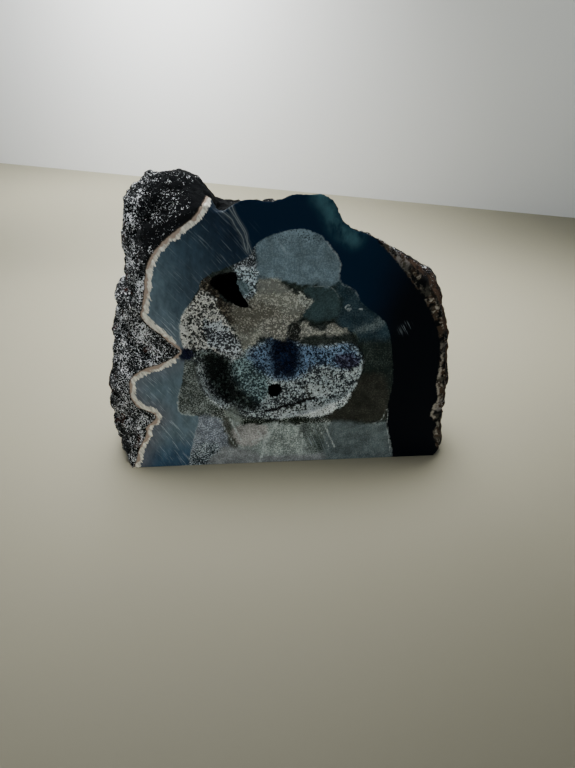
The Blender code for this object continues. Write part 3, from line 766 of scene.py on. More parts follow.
def attribute(tree, name, output="Fac"):
    return put(tree, "ShaderNodeAttribute", attribute_name=name, output=output)


def millimetres(tree):
    """The place on the object, in millimetres."""
    place = put(tree, "ShaderNodeTexCoord", output="Object")
    return scaled(tree, place, 1 / MM)


def axes(tree, place):
    """The x, y and z of a place."""
    return put(tree, "ShaderNodeSeparateXYZ", {0: place}).node.outputs


def scaled(tree, vector, by):
    """A place or a colour times a number."""
    return put(tree, "ShaderNodeVectorMath", {0: vector, "Scale": by}, operation="SCALE")


def new_material(name):
    material = bpy.data.materials.new(name)
    material.use_nodes = True
    return material, material.node_tree, material.node_tree.nodes["Principled BSDF"]


print("node helpers:", ", ".join(helper.__name__ for helper in (put, attribute, millimetres, axes, scaled)))

# %% Sums with nodes


def compute(tree, operation, first, second=0.0):
    return put(tree, "ShaderNodeMath", {0: first, 1: second}, operation=operation)


def times(tree, first, second):
    return compute(tree, "MULTIPLY", first, second)


def plus(tree, first, second):
    return compute(tree, "ADD", first, second)


def minus(tree, first, second):
    return compute(tree, "SUBTRACT", first, second)


def larger(tree, first, second):
    return compute(tree, "MAXIMUM", first, second)


def rest(tree, share):
    """What the share leaves of 1."""
    return minus(tree, 1.0, share)


def centred(tree, value, reach):
    """A value of 0 to 1 made to swing about 0, by half the reach either way."""
    return times(tree, minus(tree, value, 0.5), reach)


print("sums:", ", ".join(helper.__name__ for helper in (times, plus, minus, larger, rest, centred)))

# %% [markdown]
# ## Borders, lines and grain
# These helpers turn a distance into a look. `fade` is a soft border, `narrow` is a thin line on a
# border, and `blend` mixes two colours by a share. `grain` is the shader's own noise, which is
# finer than any mesh, and `wander` uses it to move a border about.

# %% Borders, lines and grain
GRAIN_DETAIL, GRAIN_ROUGHNESS = 2.0, 0.5
WANDER_DETAIL, WANDER_ROUGHNESS = 3.0, 0.6


def fade(tree, value, low, high):
    """0 where the value is below low, 1 above high, and a smooth step between."""
    inputs = {"Value": value, "From Min": low, "From Max": high}
    return put(tree, "ShaderNodeMapRange", inputs, interpolation_type="SMOOTHSTEP")


def narrow(tree, distance, inner, outer):
    """1 on a line and 0 away from it."""
    return rest(tree, fade(tree, compute(tree, "ABSOLUTE", distance), inner, outer))


def blend(tree, share, first, second):
    """A mix of two colours."""
    first = (*first, 1.0) if isinstance(first, tuple) else first
    second = (*second, 1.0) if isinstance(second, tuple) else second
    return put(tree, "ShaderNodeMix", {0: share, 6: first, 7: second}, 2, data_type="RGBA")


def grain(tree, vector, size, detail=GRAIN_DETAIL, roughness=GRAIN_ROUGHNESS, stretch=None):
    """Noise of 0 to 1 with lumps of the given size in millimetres."""
    if stretch:
        vector = put(tree, "ShaderNodeVectorMath", {0: vector, 1: stretch}, operation="MULTIPLY")
    inputs = {"Vector": vector, "Scale": 1 / size, "Detail": detail, "Roughness": roughness}
    return put(tree, "ShaderNodeTexNoise", inputs)


def wander(tree, place, size, reach):
    """A noise of plus or minus about half the reach, which moves a border about."""
    return centred(tree, grain(tree, place, size, WANDER_DETAIL, WANDER_ROUGHNESS), reach)


print("looks:", ", ".join(helper.__name__ for helper in (fade, narrow, blend, grain, wander)))

# %% [markdown]
# ## Saw marks
# A round saw blade leaves shallow arcs, all round the same middle, which stand out where the light
# grazes them. A wave texture would be too even. Here the place is turned into a distance from the
# blade's middle and a length along the arc, and a noise is stretched along the arcs. A coarser
# noise breaks them into bundles, and a third into patches. The group can be used by any material.

# %% Saw marks group
SAW_MIDDLE = (-219.0, 0.0, -86.0)
SAW_REACH = 220.0
SAW_PITCH, SAW_LENGTH = 0.42, 7.0
SAW_BUNDLE, SAW_BUNDLE_LENGTH = 2.6, 22.0
SAW_PATCH = 9.0
SCRATCH_RANGE, BUNDLE_RANGE, PATCH_RANGE = (0.55, 0.62), (0.34, 0.6), (0.3, 0.55)
THROUGH_DEPTH = 0.05


def saw_marks_group():
    group = bpy.data.node_groups.new("saw marks", "ShaderNodeTree")
    group.interface.new_socket("Vector", in_out="INPUT", socket_type="NodeSocketVector")
    group.interface.new_socket("Marks", in_out="OUTPUT", socket_type="NodeSocketFloat")
    start = group.nodes.new("NodeGroupInput").outputs[0]
    level = put(group, "ShaderNodeVectorMath", {0: start, 1: (1.0, 0.0, 1.0)}, operation="MULTIPLY")
    from_middle = put(group, "ShaderNodeVectorMath", {0: level, 1: SAW_MIDDLE}, operation="SUBTRACT")
    away = put(group, "ShaderNodeVectorMath", {0: from_middle}, "Value", operation="LENGTH")
    x, _, z = axes(group, from_middle)
    along = times(group, compute(group, "ARCTAN2", z, x), SAW_REACH)
    turned = put(group, "ShaderNodeCombineXYZ", {"X": along, "Z": away})
    fine = grain(group, turned, SAW_PITCH, 2.0, 0.6, (SAW_PITCH / SAW_LENGTH, THROUGH_DEPTH, 1.0))
    bundle_stretch = (SAW_BUNDLE / SAW_BUNDLE_LENGTH, THROUGH_DEPTH, 1.0)
    bundles = grain(group, turned, SAW_BUNDLE, 1.0, 0.5, bundle_stretch)
    patches = grain(group, start, SAW_PATCH)
    lines = times(group, fade(group, fine, *SCRATCH_RANGE), fade(group, bundles, *BUNDLE_RANGE))
    marks = times(group, lines, fade(group, patches, *PATCH_RANGE))
    end = group.nodes.new("NodeGroupOutput")
    group.links.new(marks, end.inputs[0])
    return group


saw_marks = saw_marks_group()
print("saw marks every", SAW_PITCH, "mm, in a group of", len(saw_marks.nodes), "nodes")

# %% [markdown]
# ## The agate
# Left of the ridge the agate is a dusty blue that darkens upwards and inwards, with a deep blue
# foot and a haze by the rim. Right of the ridge it is navy and then black, with a teal glow in one
# place. Each is a chain of mixes, one for each thing that a look at the cut shows, and clouds of
# noise keep their borders from being straight.

# %% Agate left of the ridge
AGATE_BLUE, AGATE_DUSK, AGATE_SHADE = (0.125, 0.18, 0.215), (0.032, 0.058, 0.085), (0.007, 0.016, 0.033)
AGATE_DEEP, AGATE_HAZE = (0.032, 0.075, 0.135), (0.13, 0.14, 0.165)
# ranges in millimetres over which a colour comes in: by height, from the rim or from the ridge
DUSK_CLIMB, CLIMB_ACROSS = (10.0, 66.0), 0.9
HEART_FROM_RIM, HEART_HEIGHT, HEART_SHARE = (3.0, 17.0), (24.0, 60.0), 0.5
RIDGE_SHADE_REACH, RIDGE_SHADE_HEIGHT, RIDGE_SHADE_SHARE = (-15.0, -2.0), (66.0, 84.0), 0.85
FOOT_HEIGHT, FOOT_SHARE = (3.0, 17.0), 0.85
HAZE_FROM_RIM, HAZE_HEIGHT = (1.0, 9.0), (76.0, 20.0)


def agate_left(tree, x, z, near, cloudy):
    """Dusty blue, darker upwards and inwards, with a deep blue foot and a haze by the rim."""
    climb = plus(tree, plus(tree, z, times(tree, x, CLIMB_ACROSS)), cloudy)
    colour = blend(tree, fade(tree, climb, *DUSK_CLIMB), AGATE_BLUE, AGATE_DUSK)
    heart = times(tree, fade(tree, near["in_agate"], *HEART_FROM_RIM), fade(tree, z, *HEART_HEIGHT))
    colour = blend(tree, times(tree, heart, HEART_SHARE), colour, AGATE_SHADE)
    by_ridge = fade(tree, near["past_ridge"], *RIDGE_SHADE_REACH)
    by_ridge = times(tree, by_ridge, fade(tree, z, *RIDGE_SHADE_HEIGHT))
    colour = blend(tree, times(tree, by_ridge, RIDGE_SHADE_SHARE), colour, AGATE_SHADE)
    low = plus(tree, z, times(tree, cloudy, 0.5))
    colour = blend(tree, minus(tree, FOOT_SHARE, fade(tree, low, *FOOT_HEIGHT)), colour, AGATE_DEEP)
    haze = rest(tree, fade(tree, near["in_agate"], *HAZE_FROM_RIM))
    return blend(tree, times(tree, haze, fade(tree, z, *HAZE_HEIGHT)), colour, AGATE_HAZE)


print("the blue climbs into dusk over", DUSK_CLIMB[1] - DUSK_CLIMB[0], "mm")

# %% Agate right of the ridge, and the whole
AGATE_NAVY, AGATE_BLACK, AGATE_TEAL = (0.001, 0.013, 0.035), (0.0008, 0.0022, 0.005), (0.045, 0.12, 0.145)
BLACK_ACROSS, BLACK_LEAN = (-4.0, 18.0), 0.35
GLOW_REACH, GLOW_FALL = (0.0, 6.0), 1.5
WISP_SIZE, WISP_STRETCH, WISP_RANGE = 3.0, (1.0, 1.0, 0.6), (0.2, 0.7)
STREAK_SIZE, STREAK_STRETCH = 2.2, (1.0, 0.3, 0.45)
STREAK_STRENGTH, STREAK_FLOOR = 1.5, 0.3
CLOUD_SIZE, CLOUD_REACH = 11.0, 22.0
RIDGE_BORDER = (-0.4, 0.4)


def agate_right(tree, place, x, z, near, cloudy):
    """Navy by the ridge and then black, with a teal glow along one line."""
    rightward = plus(tree, x, times(tree, cloudy, 0.5))
    rightward = minus(tree, rightward, times(tree, z, BLACK_LEAN))
    colour = blend(tree, fade(tree, rightward, *BLACK_ACROSS), AGATE_NAVY, AGATE_BLACK)
    wisps = grain(tree, place, WISP_SIZE, 4.0, 0.6, WISP_STRETCH)
    glow = rest(tree, fade(tree, near["from_glow"], *GLOW_REACH))
    glow = times(tree, compute(tree, "POWER", glow, GLOW_FALL), fade(tree, wisps, *WISP_RANGE))
    return blend(tree, glow, colour, AGATE_TEAL)


def agate_colour(tree, place, x, z, near):
    """Both sides of the ridge, the left one streaked."""
    cloudy = centred(tree, grain(tree, place, CLOUD_SIZE, 3.0), CLOUD_REACH)
    streaks = grain(tree, place, STREAK_SIZE, 4.0, 0.7, STREAK_STRETCH)
    mottle = plus(tree, times(tree, streaks, STREAK_STRENGTH), STREAK_FLOOR)
    left = scaled(tree, agate_left(tree, x, z, near, cloudy), mottle)
    right = agate_right(tree, place, x, z, near, cloudy)
    return blend(tree, fade(tree, near["past_ridge"], *RIDGE_BORDER), left, right)


print("clouds of", CLOUD_SIZE, "mm in the agate")

# %% [markdown]
# ## The quartz
# Cut quartz with fine crystals looks like salt and pepper. Its two colours come from the zones,
# and one fine noise decides which grain is dark and which is light: the zone's share of light
# grains shifts the noise before a sharp step. A slow noise makes the whole softly uneven.

# %% Quartz on the sawn face
QUARTZ_GRAIN, QUARTZ_PATCH, QUARTZ_CLOUD = 0.52, 3.2, 4.5
QUARTZ_PATCH_REACH = 0.3
LIGHT_GRAINS_FROM = (0.46, 0.56)
QUARTZ_CLOUD_STRENGTH, QUARTZ_CLOUD_LESS = 2.4, 0.2


def quartz_colour(tree, place):
    """The zone's dark colour with its own share of light grains, and soft mottling."""
    share = centred(tree, attribute(tree, "light_share"), 0.5)
    fine = plus(tree, grain(tree, place, QUARTZ_GRAIN, 3.0, 0.75), share)
    fine = plus(tree, fine, wander(tree, place, QUARTZ_PATCH, QUARTZ_PATCH_REACH))
    light_here = fade(tree, fine, *LIGHT_GRAINS_FROM)
    colour = blend(tree, light_here, attribute(tree, "dark", "Color"), attribute(tree, "light", "Color"))
    clouds = times(tree, grain(tree, place, QUARTZ_CLOUD, 6.0, 0.75), QUARTZ_CLOUD_STRENGTH)
    return scaled(tree, colour, minus(tree, clouds, QUARTZ_CLOUD_LESS))


print("quartz grains of about", QUARTZ_GRAIN, "mm")

# %% [markdown]
# ## The skin
# The natural skin is nearly black, and dusted with white grains and short curled strokes of quartz.
# The grains are a fine noise, and the strokes are where a coarser noise passes its middle value,
# which is a thin winding line. Both are added up with the share that the point's attribute gives,
# and one sharp step turns the sum into white. The same sum lifts the white grains in relief.

# %% Skin
SKIN_BLACK, SKIN_GREY, SKIN_WHITE = (0.003, 0.004, 0.005), (0.03, 0.032, 0.034), (0.92, 0.95, 0.98)
SKIN_ASH, SKIN_RED = (0.13, 0.135, 0.14), (0.04, 0.016, 0.012)
SKIN_RUST, SKIN_DARK = (0.055, 0.034, 0.022), (0.006, 0.007, 0.008)
SPECK_SIZE, CURL_SIZE, SPECK_PATCH = 0.62, 1.3, 4.5
CURL_LINE, CURL_STRENGTH, SPECK_PATCH_REACH = (0.01, 0.045), 0.18, 0.55
WHITE_FROM = (0.56, 0.61)
ELSEWHERE = (31.0, 5.0, 11.0)
GREY_CLOUD, GREY_RANGE = 2.2, (0.45, 0.75)
BARE_SPECKLE = (0.2, 0.1)
RUST_PATCH, RUST_SPECKS, RUST_RANGE = 4.0, 0.3, (0.56, 0.72)
# colour, noise size, detail and roughness, and where in the noise it comes in
SKIN_LAYERS = [(SKIN_ASH, 0.55, 3.0, 0.7, 0.57, 0.63), (SKIN_RED, 6.0, 2.0, 0.5, 0.6, 0.7)]


def skin_ground(tree, place, specks):
    """Black with grey clouds, ash grains, and a few red and rusty places."""
    clouds = fade(tree, grain(tree, place, GREY_CLOUD, 3.0), *GREY_RANGE)
    ground = blend(tree, clouds, SKIN_BLACK, SKIN_GREY)
    elsewhere = put(tree, "ShaderNodeVectorMath", {0: place, 1: ELSEWHERE}, operation="ADD")
    for colour, size, detail, roughness, low, high in SKIN_LAYERS:
        layer = fade(tree, grain(tree, elsewhere, size, detail, roughness), low, high)
        ground = blend(tree, layer, ground, colour)
    ground = blend(tree, fade(tree, attribute(tree, "speckle"), *BARE_SPECKLE), ground, SKIN_DARK)
    patchy = plus(tree, grain(tree, place, RUST_PATCH, 4.0, 0.6), times(tree, specks, RUST_SPECKS))
    rust = times(tree, fade(tree, patchy, *RUST_RANGE), attribute(tree, "rusty"))
    return blend(tree, rust, ground, SKIN_RUST)


def skin_colour(tree, place):
    """The skin's colour, and the level that says how white and how high it is."""
    specks = grain(tree, place, SPECK_SIZE, 3.0, 0.72)
    curls = narrow(tree, minus(tree, grain(tree, place, CURL_SIZE, 2.0, 0.6), 0.5), *CURL_LINE)
    patches = centred(tree, grain(tree, place, SPECK_PATCH), SPECK_PATCH_REACH)
    share = centred(tree, attribute(tree, "speckle"), 0.5)
    level = plus(tree, specks, plus(tree, patches, share))
    level = plus(tree, level, times(tree, curls, CURL_STRENGTH))
    ground = skin_ground(tree, place, specks)
    return blend(tree, fade(tree, level, *WHITE_FROM), ground, SKIN_WHITE), level


print("white grains of about", SPECK_SIZE, "mm and curls", CURL_SIZE, "mm apart")

# %% [markdown]
# ## The rim
# Between the skin and the agate runs a rim of a few millimetres. On the left it is tan outside and
# cream inside, with small teeth that point into the agate. On the right it is brown and mottled,
# with cream grains where it meets the black agate. Its width is a noise, stretched along the
# teeth, and it is laid over the agate wherever the distance from the rim's outer border is less.

# %% Cream rim on the left
RIM_TAN, RIM_CREAM, RIM_BROWN_AND_SHADOW = (0.44, 0.34, 0.27), (0.86, 0.83, 0.72), (0.05, 0.035, 0.025)
TAN_PATCH, TAN_FROM, TAN_REACH, TAN_LEAST = 4.5, 0.34, 5.5, 0.2
CREAM_BORDER, BROWN_AND_SHADOW_LINE = (-0.25, 0.35), (0.05, 0.45)
CREAM_BRIGHTNESS = 1.9


def cream_rim(tree, place, depth, teeth):
    """Tan outside and cream inside, with a thin brown line against the skin, partly painted shadow."""
    tan_width = times(tree, minus(tree, grain(tree, place, TAN_PATCH, 3.0), TAN_FROM), TAN_REACH)
    tanned = minus(tree, depth, larger(tree, tan_width, TAN_LEAST))
    pale = scaled(tree, RIM_CREAM, times(tree, teeth, CREAM_BRIGHTNESS))
    cream = blend(tree, fade(tree, tanned, *CREAM_BORDER), RIM_TAN, pale)
    return blend(tree, rest(tree, fade(tree, depth, *BROWN_AND_SHADOW_LINE)), cream, RIM_BROWN_AND_SHADOW)


print("a brown line of", BROWN_AND_SHADOW_LINE[1], "mm outside the rim")

# %% Brown edge on the right
EDGE_BROWN, EDGE_CREAM, EDGE_GREY = (0.06, 0.040, 0.026), (0.42, 0.38, 0.31), (0.055, 0.052, 0.042)
EDGE_PATCH_COLOUR = (0.24, 0.22, 0.205)
EDGE_CREAM_RANGE, EDGE_PATCH_RANGE = (0.49, 0.6), (0.4, 0.6)
# colour, noise size and roughness, and where in the noise it comes in
EDGE_LAYERS = [(EDGE_GREY, 5.0, 0.5, 0.45, 0.6), (SKIN_BLACK, 2.6, 0.6, 0.45, 0.56)]
CREAM_LINE, CREAM_LINE_HEIGHT, CREAM_LINE_SHARE = (-1.5, -0.5), (50.0, 38.0), 0.75
CREAM_GRAIN, CREAM_GRAIN_RANGE = 2.0, (0.42, 0.54)
CREAM_FOOT, CREAM_FOOT_LEAST = (8.0, 20.0), 0.25
OUTER_DARK, OUTER_DARK_SHARE = (-2.2, -3.4), 0.8


def brown_edge(tree, place, z, near, mottle, past):
    """Brown, grey and black mottling, pale patches, and cream grains along the border."""
    brown = blend(tree, fade(tree, mottle, *EDGE_CREAM_RANGE), EDGE_BROWN, EDGE_CREAM)
    for colour, size, roughness, low, high in EDGE_LAYERS:
        layer = fade(tree, grain(tree, place, size, 3.0, roughness), low, high)
        brown = blend(tree, layer, brown, colour)
    patch = times(tree, near["edge_patch"], fade(tree, mottle, *EDGE_PATCH_RANGE))
    brown = blend(tree, patch, brown, EDGE_PATCH_COLOUR)
    by_border = times(tree, fade(tree, past, *CREAM_LINE), fade(tree, z, *CREAM_LINE_HEIGHT))
    grains = fade(tree, grain(tree, place, CREAM_GRAIN, 3.0), *CREAM_GRAIN_RANGE)
    by_border = times(tree, by_border, grains)
    by_border = times(tree, by_border, plus(tree, fade(tree, z, *CREAM_FOOT), CREAM_FOOT_LEAST))
    brown = blend(tree, times(tree, by_border, CREAM_LINE_SHARE), brown, EDGE_CREAM)
    return blend(tree, times(tree, fade(tree, past, *OUTER_DARK), OUTER_DARK_SHARE), brown, SKIN_DARK)


print("the brown edge has", len(EDGE_LAYERS), "layers over its ground")

# %% Laying the rim over the agate
TEETH_TURN = math.radians(-62)
TEETH_SIZE, TEETH_STRETCH, TEETH_LENGTH = 0.8, (0.3, 0.1, 1.0), 2.6
RIM_WAVE, RIM_WAVE_REACH = 3.5, 1.7
LEFT_ENDS = (-23.0, -21.0)
RIM_WANDER, RIM_WANDER_REACH = 1.5, 0.9
RIM_INNER_BORDER, RIM_OUTER_BORDER = (-0.2, 0.2), (-0.3, 0.3)
EDGE_MOTTLE, EDGE_MOTTLE_REACH = 1.8, 3.0


def rim_over(tree, place, x, z, near, inner, skin):
    """Lays the rim over the agate: cream on the left, and brown and mottled on the right."""
    turning = {"Vector": place, "Angle": TEETH_TURN}
    turned = put(tree, "ShaderNodeVectorRotate", turning, rotation_type="Y_AXIS")
    teeth = grain(tree, turned, TEETH_SIZE, 2.0, 0.6, TEETH_STRETCH)
    waves = times(tree, grain(tree, place, RIM_WAVE), RIM_WAVE_REACH)
    width = times(tree, plus(tree, times(tree, teeth, TEETH_LENGTH), waves), near["rim_width"])
    on_left = rest(tree, fade(tree, x, *LEFT_ENDS))
    depth = plus(tree, near["in_agate"], wander(tree, place, RIM_WANDER, RIM_WANDER_REACH))
    in_rim = rest(tree, fade(tree, minus(tree, near["in_agate"], width), *RIM_INNER_BORDER))
    rimmed = blend(tree, times(tree, in_rim, on_left), inner, cream_rim(tree, place, depth, teeth))
    mottle = grain(tree, place, EDGE_MOTTLE, 4.0, 0.7)
    past = plus(tree, near["in_agate"], centred(tree, mottle, EDGE_MOTTLE_REACH))
    outside = blend(tree, on_left, brown_edge(tree, place, z, near, mottle, past), skin)
    past = blend(tree, on_left, past, depth)
    return blend(tree, fade(tree, past, *RIM_OUTER_BORDER), outside, rimmed)


print("rim teeth up to", TEETH_LENGTH, "mm long")

# %% [markdown]
# ## Pale lines
# Healed cracks cross the quartz as pale veins, parts of its border are pale, and fine strands fan
# out along the ridge. Each line is drawn from a distance, and a noise breaks it up, since a line
# that is equally strong all along looks drawn with a pen.

# %% Veins, borders and strands
STRAND_LINE, STRAND_STRENGTH = (0.02, 0.18), 0.36
STRAND_HAZE, STRAND_HAZE_STRENGTH = (0.1, 1.0), 0.08
STRANDS_ABOVE = (77.0, 80.0)
STRAND_SHAKE_SIZE, STRAND_SHAKE = 4.0, 0.8
WORN_SIZE, WORN_RANGE = 2.5, (0.1, 0.5)
BREAK_SIZE, BREAK_REACH, BREAK_RANGE = 0.9, 2.0, (-0.35, 0.25)
VEIN_LINE, EDGE_LINE, ARC_LINE = (0.05, 0.32), (0.1, 0.5), (0.05, 0.35)
EDGE_STRENGTH, ARC_STRENGTH, LINE_STRENGTH = 0.7, 0.25, 0.75
ARC_HEIGHT, ARC_ACROSS = (61.0, 66.0), (5.0, 8.0)


def strands(tree, place, z, near):
    """Thin pale lines along the ridge, each in a faint haze of its own."""
    lines = 0.0
    for number in range(len(STRANDS)):
        shake = wander(tree, place, STRAND_SHAKE_SIZE, STRAND_SHAKE)
        away = plus(tree, near[f"strand_{number}"], shake)
        haze = times(tree, narrow(tree, away, *STRAND_HAZE), STRAND_HAZE_STRENGTH)
        line = larger(tree, times(tree, narrow(tree, away, *STRAND_LINE), STRAND_STRENGTH), haze)
        lines = larger(tree, lines, line)
    worn = fade(tree, grain(tree, place, WORN_SIZE, 3.0, 0.6), *WORN_RANGE)
    return times(tree, times(tree, lines, worn), fade(tree, z, *STRANDS_ABOVE))


def pale_lines(tree, place, x, z, near):
    """The veins, the pale parts of the quartz's border, an arc in it, and the strands."""
    breaks = wander(tree, place, BREAK_SIZE, BREAK_REACH)
    broken = times(tree, fade(tree, breaks, *BREAK_RANGE), LINE_STRENGTH)
    veins = rest(tree, fade(tree, near["from_vein"], *VEIN_LINE))
    edge = times(tree, narrow(tree, near["in_quartz"], *EDGE_LINE), near["edge_pale"])
    arc = times(tree, narrow(tree, near["in_green"], *ARC_LINE), fade(tree, z, *ARC_HEIGHT))
    arc = times(tree, arc, fade(tree, x, *ARC_ACROSS))
    lines = larger(tree, veins, times(tree, edge, EDGE_STRENGTH))
    lines = larger(tree, lines, times(tree, arc, ARC_STRENGTH))
    return larger(tree, times(tree, lines, broken), strands(tree, place, z, near))


print("veins fade out", VEIN_LINE[1], "mm from their sides")

# %% [markdown]
# ## The stone's material
# From the inside out: agate, quartz over it, pale lines, saw marks, painted shade on the hollow's
# walls, the rim, and the skin wherever nothing was sawn. It is one material for the whole stone, so
# no seam shows between cut and skin. A satin roughness is a little lower on the cut, and the saw
# marks and the white grains are also a bump, which bends the light without moving the mesh.

# %% Colours of the sawn face
STAIN_NAVY, HOLLOW_PAINTED_SHADE = (0.004, 0.006, 0.022), (0.003, 0.003, 0.0035)
PALE_LINE, MARK_GREY = (0.62, 0.69, 0.67), (0.45, 0.53, 0.57)
MARK_STRENGTH = 0.62
QUARTZ_BORDER, HOLLOW_BORDER = (-0.25, 0.25), (-0.1, 0.3)


def sawn_colour(tree, place, x, z, near, marks):
    """The agate, the quartz and all that is drawn over them."""
    agate = blend(tree, near["stain"], agate_colour(tree, place, x, z, near), STAIN_NAVY)
    face = blend(tree, fade(tree, near["in_quartz"], *QUARTZ_BORDER), agate, quartz_colour(tree, place))
    face = blend(tree, pale_lines(tree, place, x, z, near), face, PALE_LINE)
    face = blend(tree, times(tree, marks, MARK_STRENGTH), face, MARK_GREY)
    # past the first few millimetres the hollow's walls are painted near black: painted shade in the recess
    return blend(tree, fade(tree, near["in_hollow"], *HOLLOW_BORDER), face, HOLLOW_PAINTED_SHADE)


print("saw marks show at", MARK_STRENGTH, "of their full strength")

# %% The stone's material
BORDER_SHAKE_SIZE, BORDER_SHAKE = 1.6, 1.4
CUT_BORDER, SMOOTH_BORDER = (0.35, 0.65), (-0.3, 0.3)
SKIN_ROUGHNESS, CUT_SMOOTHER, MARKS_ROUGHER = 0.78, 0.25, 1.4
STONE_SHINE = 0.06
MARK_DEPTH, BUMP_STRENGTH, BUMP_HEIGHT = 0.12, 0.6, 0.6


def stone_material():
    material, tree, shader = new_material("agate stone")
    place = millimetres(tree)
    x, _, z = axes(tree, place)
    near = {name: attribute(tree, name) for name in distances}
    shake = wander(tree, place, BORDER_SHAKE_SIZE, BORDER_SHAKE)
    near["in_quartz"] = plus(tree, near["in_quartz"], shake)
    marks = put(tree, "ShaderNodeGroup", {0: place}, node_tree=saw_marks)
    marks = times(tree, marks, near["marked"])

    skin, level = skin_colour(tree, place)
    face = sawn_colour(tree, place, x, z, near, marks)
    sawn = rim_over(tree, place, x, z, near, face, skin)
    cut = fade(tree, near["cut"], *CUT_BORDER)
    tree.links.new(blend(tree, cut, skin, sawn), shader.inputs["Base Color"])

    smooth = times(tree, cut, fade(tree, near["in_agate"], *SMOOTH_BORDER))
    gloss = times(tree, minus(tree, marks, MARKS_ROUGHER), times(tree, smooth, CUT_SMOOTHER))
    tree.links.new(plus(tree, gloss, SKIN_ROUGHNESS), shader.inputs["Roughness"])
    shader.inputs["Specular IOR Level"].default_value = STONE_SHINE
    height = times(tree, level, rest(tree, smooth))
    height = minus(tree, height, times(tree, marks, MARK_DEPTH))
    bumps = {"Height": height, "Strength": BUMP_STRENGTH, "Distance": BUMP_HEIGHT * MM}
    tree.links.new(put(tree, "ShaderNodeBump", bumps), shader.inputs["Normal"])
    return material


stone.data.materials.clear()
stone.data.materials.append(stone_material())
print("stone material:", len(stone.data.materials[0].node_tree.nodes), "nodes")

# %% [markdown]
# ## The shape of the hollow
# The hollow is a wide bowl with deeper pockets, each a rounded dip with its own middle, width,
# height and depth. The imported stone has the same dips, so the crust that is grown here fits it.
# The crust is missing over the split and over the small hole, where the stone's inside shows in painted
# shade.

# %% The hollow's depth
# each dip: x, z, half width, half height and depth
HOLLOW_BOWLS = [
    (-2.0, 33.5, 27.0, 15.5, 9.5), (-2.0, 39.5, 20.0, 10.5, 13.5), (-2.5, 43.0, 8.5, 7.0, 18.0),
    (-24.0, 35.5, 8.5, 11.0, 13.0), (-27.0, 55.5, 9.0, 11.0, 6.0), (-18.0, 54.5, 8.0, 11.0, 5.0),
    (-19.0, 66.5, 9.0, 7.5, 6.5), (1.4, 52.4, 3.6, 5.2, 4.5),
]
BOWL_EDGE_POWER = 0.6
SHELF_DEPTH = 2.7
SPLIT = [
    (-25.0, 68.5), (-23.0, 71.0), (-20.0, 72.2), (-16.6, 72.4), (-16.2, 68.5), (-15.4, 64.8), (-12.0, 60.8),
    (-14.0, 60.0), (-18.0, 61.2), (-22.2, 64.2),
]
SPLIT_MARGIN = 0.3
SMALL_HOLE, HOLE_HALF_WIDTH, HOLE_HALF_HEIGHT = (-5.0, 26.9), 2.4, 1.9


def hollow_depth(places):
    """How far behind the face the stone's hollow is."""
    depth = np.full(len(places), SHELF_DEPTH)
    for x, z, half_width, half_height, deep in HOLLOW_BOWLS:
        inside = 1 - ((places[:, 0] - x) / half_width) ** 2 - ((places[:, 1] - z) / half_height) ** 2
        depth = np.maximum(depth, deep * inside.clip(0) ** BOWL_EDGE_POWER)
    return depth


def open_here(places):
    """Where the crust is missing: over the split and the small hole."""
    from_hole = (places - SMALL_HOLE) / (HOLE_HALF_WIDTH, HOLE_HALF_HEIGHT)
    hole = np.hypot(*from_hole.T) < 1
    return hole | (inside_distance(places, SPLIT) > SPLIT_MARGIN)


print("the hollow is up to", max(bowl[4] for bowl in HOLLOW_BOWLS), "mm deep")

# %% [markdown]
# ## The bed of the crust
# Real druzy crystals stand so close that hardly any ground shows between them, but what shows must
# not be a gap. So they stand on a bed: a grid that is bent into the hollow, a little in front of
# the stone, and lumpy, because the crust is thicker in some places. The grid operator makes the
# faces, each point is then put in place, and what lies outside the hollow is deleted.

# %% Making the bed
CRUST_DEPTH = 1.7
BED_CELL = 0.55
BED_FRONT = 0.35
BED_MARGIN, GRID_MARGIN = 0.5, 1.0
BED_LUMP, BED_LUMP_HEIGHT = 5.0, 0.8
BED_GRAIN, BED_GRAIN_HEIGHT = 1.9, 0.55


def bed_depth(places):
    """How far behind the face the bed is."""
    flat = on_level(places)
    bumps = BED_LUMP_HEIGHT * rough(flat, BED_LUMP, 1) + BED_GRAIN_HEIGHT * rough(flat, BED_GRAIN, 3, 6)
    return np.maximum(hollow_depth(places) - CRUST_DEPTH + bumps, BED_FRONT)


low, high = np.min(HOLLOW, axis=0) - GRID_MARGIN, np.max(HOLLOW, axis=0) + GRID_MARGIN
cells = np.ceil((high - low) / BED_CELL).astype(int)
tools = bmesh.new()
bmesh.ops.create_grid(tools, x_segments=int(cells[0]), y_segments=int(cells[1]), size=0.5)
grid = np.array([v.co[:2] for v in tools.verts]) + 0.5
grid = low + grid * (high - low)
lined = (inside_distance(grid, HOLLOW) > -BED_MARGIN) & ~open_here(grid)
deep = FACE_Y + bed_depth(grid)
for vertex, (x, z), y in zip(tools.verts, grid, deep):
    vertex.co = Vector((x, y, z)) * MM
bmesh.ops.delete(tools, geom=[v for v, kept in zip(tools.verts[:], lined) if not kept], context="VERTS")
bmesh.ops.recalc_face_normals(tools, faces=tools.faces)
if sum(face.normal.y * face.calc_area() for face in tools.faces) > 0:
    bmesh.ops.reverse_faces(tools, faces=tools.faces)
bed = bpy.data.meshes.new("crystal crust")
tools.to_mesh(bed)
tools.free()
print("bed:", len(bed.polygons), "faces, up to", round(deep.max() - FACE_Y, 1), "mm deep")

# %% [markdown]
# ## One crystal
# Quartz grows as a six-sided prism with a six-sided point. A circle of six corners is extruded
# twice: once to the shoulder, a little narrower, and once to the tip, where its corners are merged.
# It stays open underneath, where nobody sees it, and so has only 18 triangles. That matters for a
# shape that is repeated thousands of times. The operators may list the faces in another order each
# time, so they are put in order at the end.

# %% One crystal
SHOULDER, TIP = 1.0, 2.1
SHOULDER_WIDTH, TIP_WIDTH = 0.94, 0.001
MIDDLE_HEIGHT = 0.9


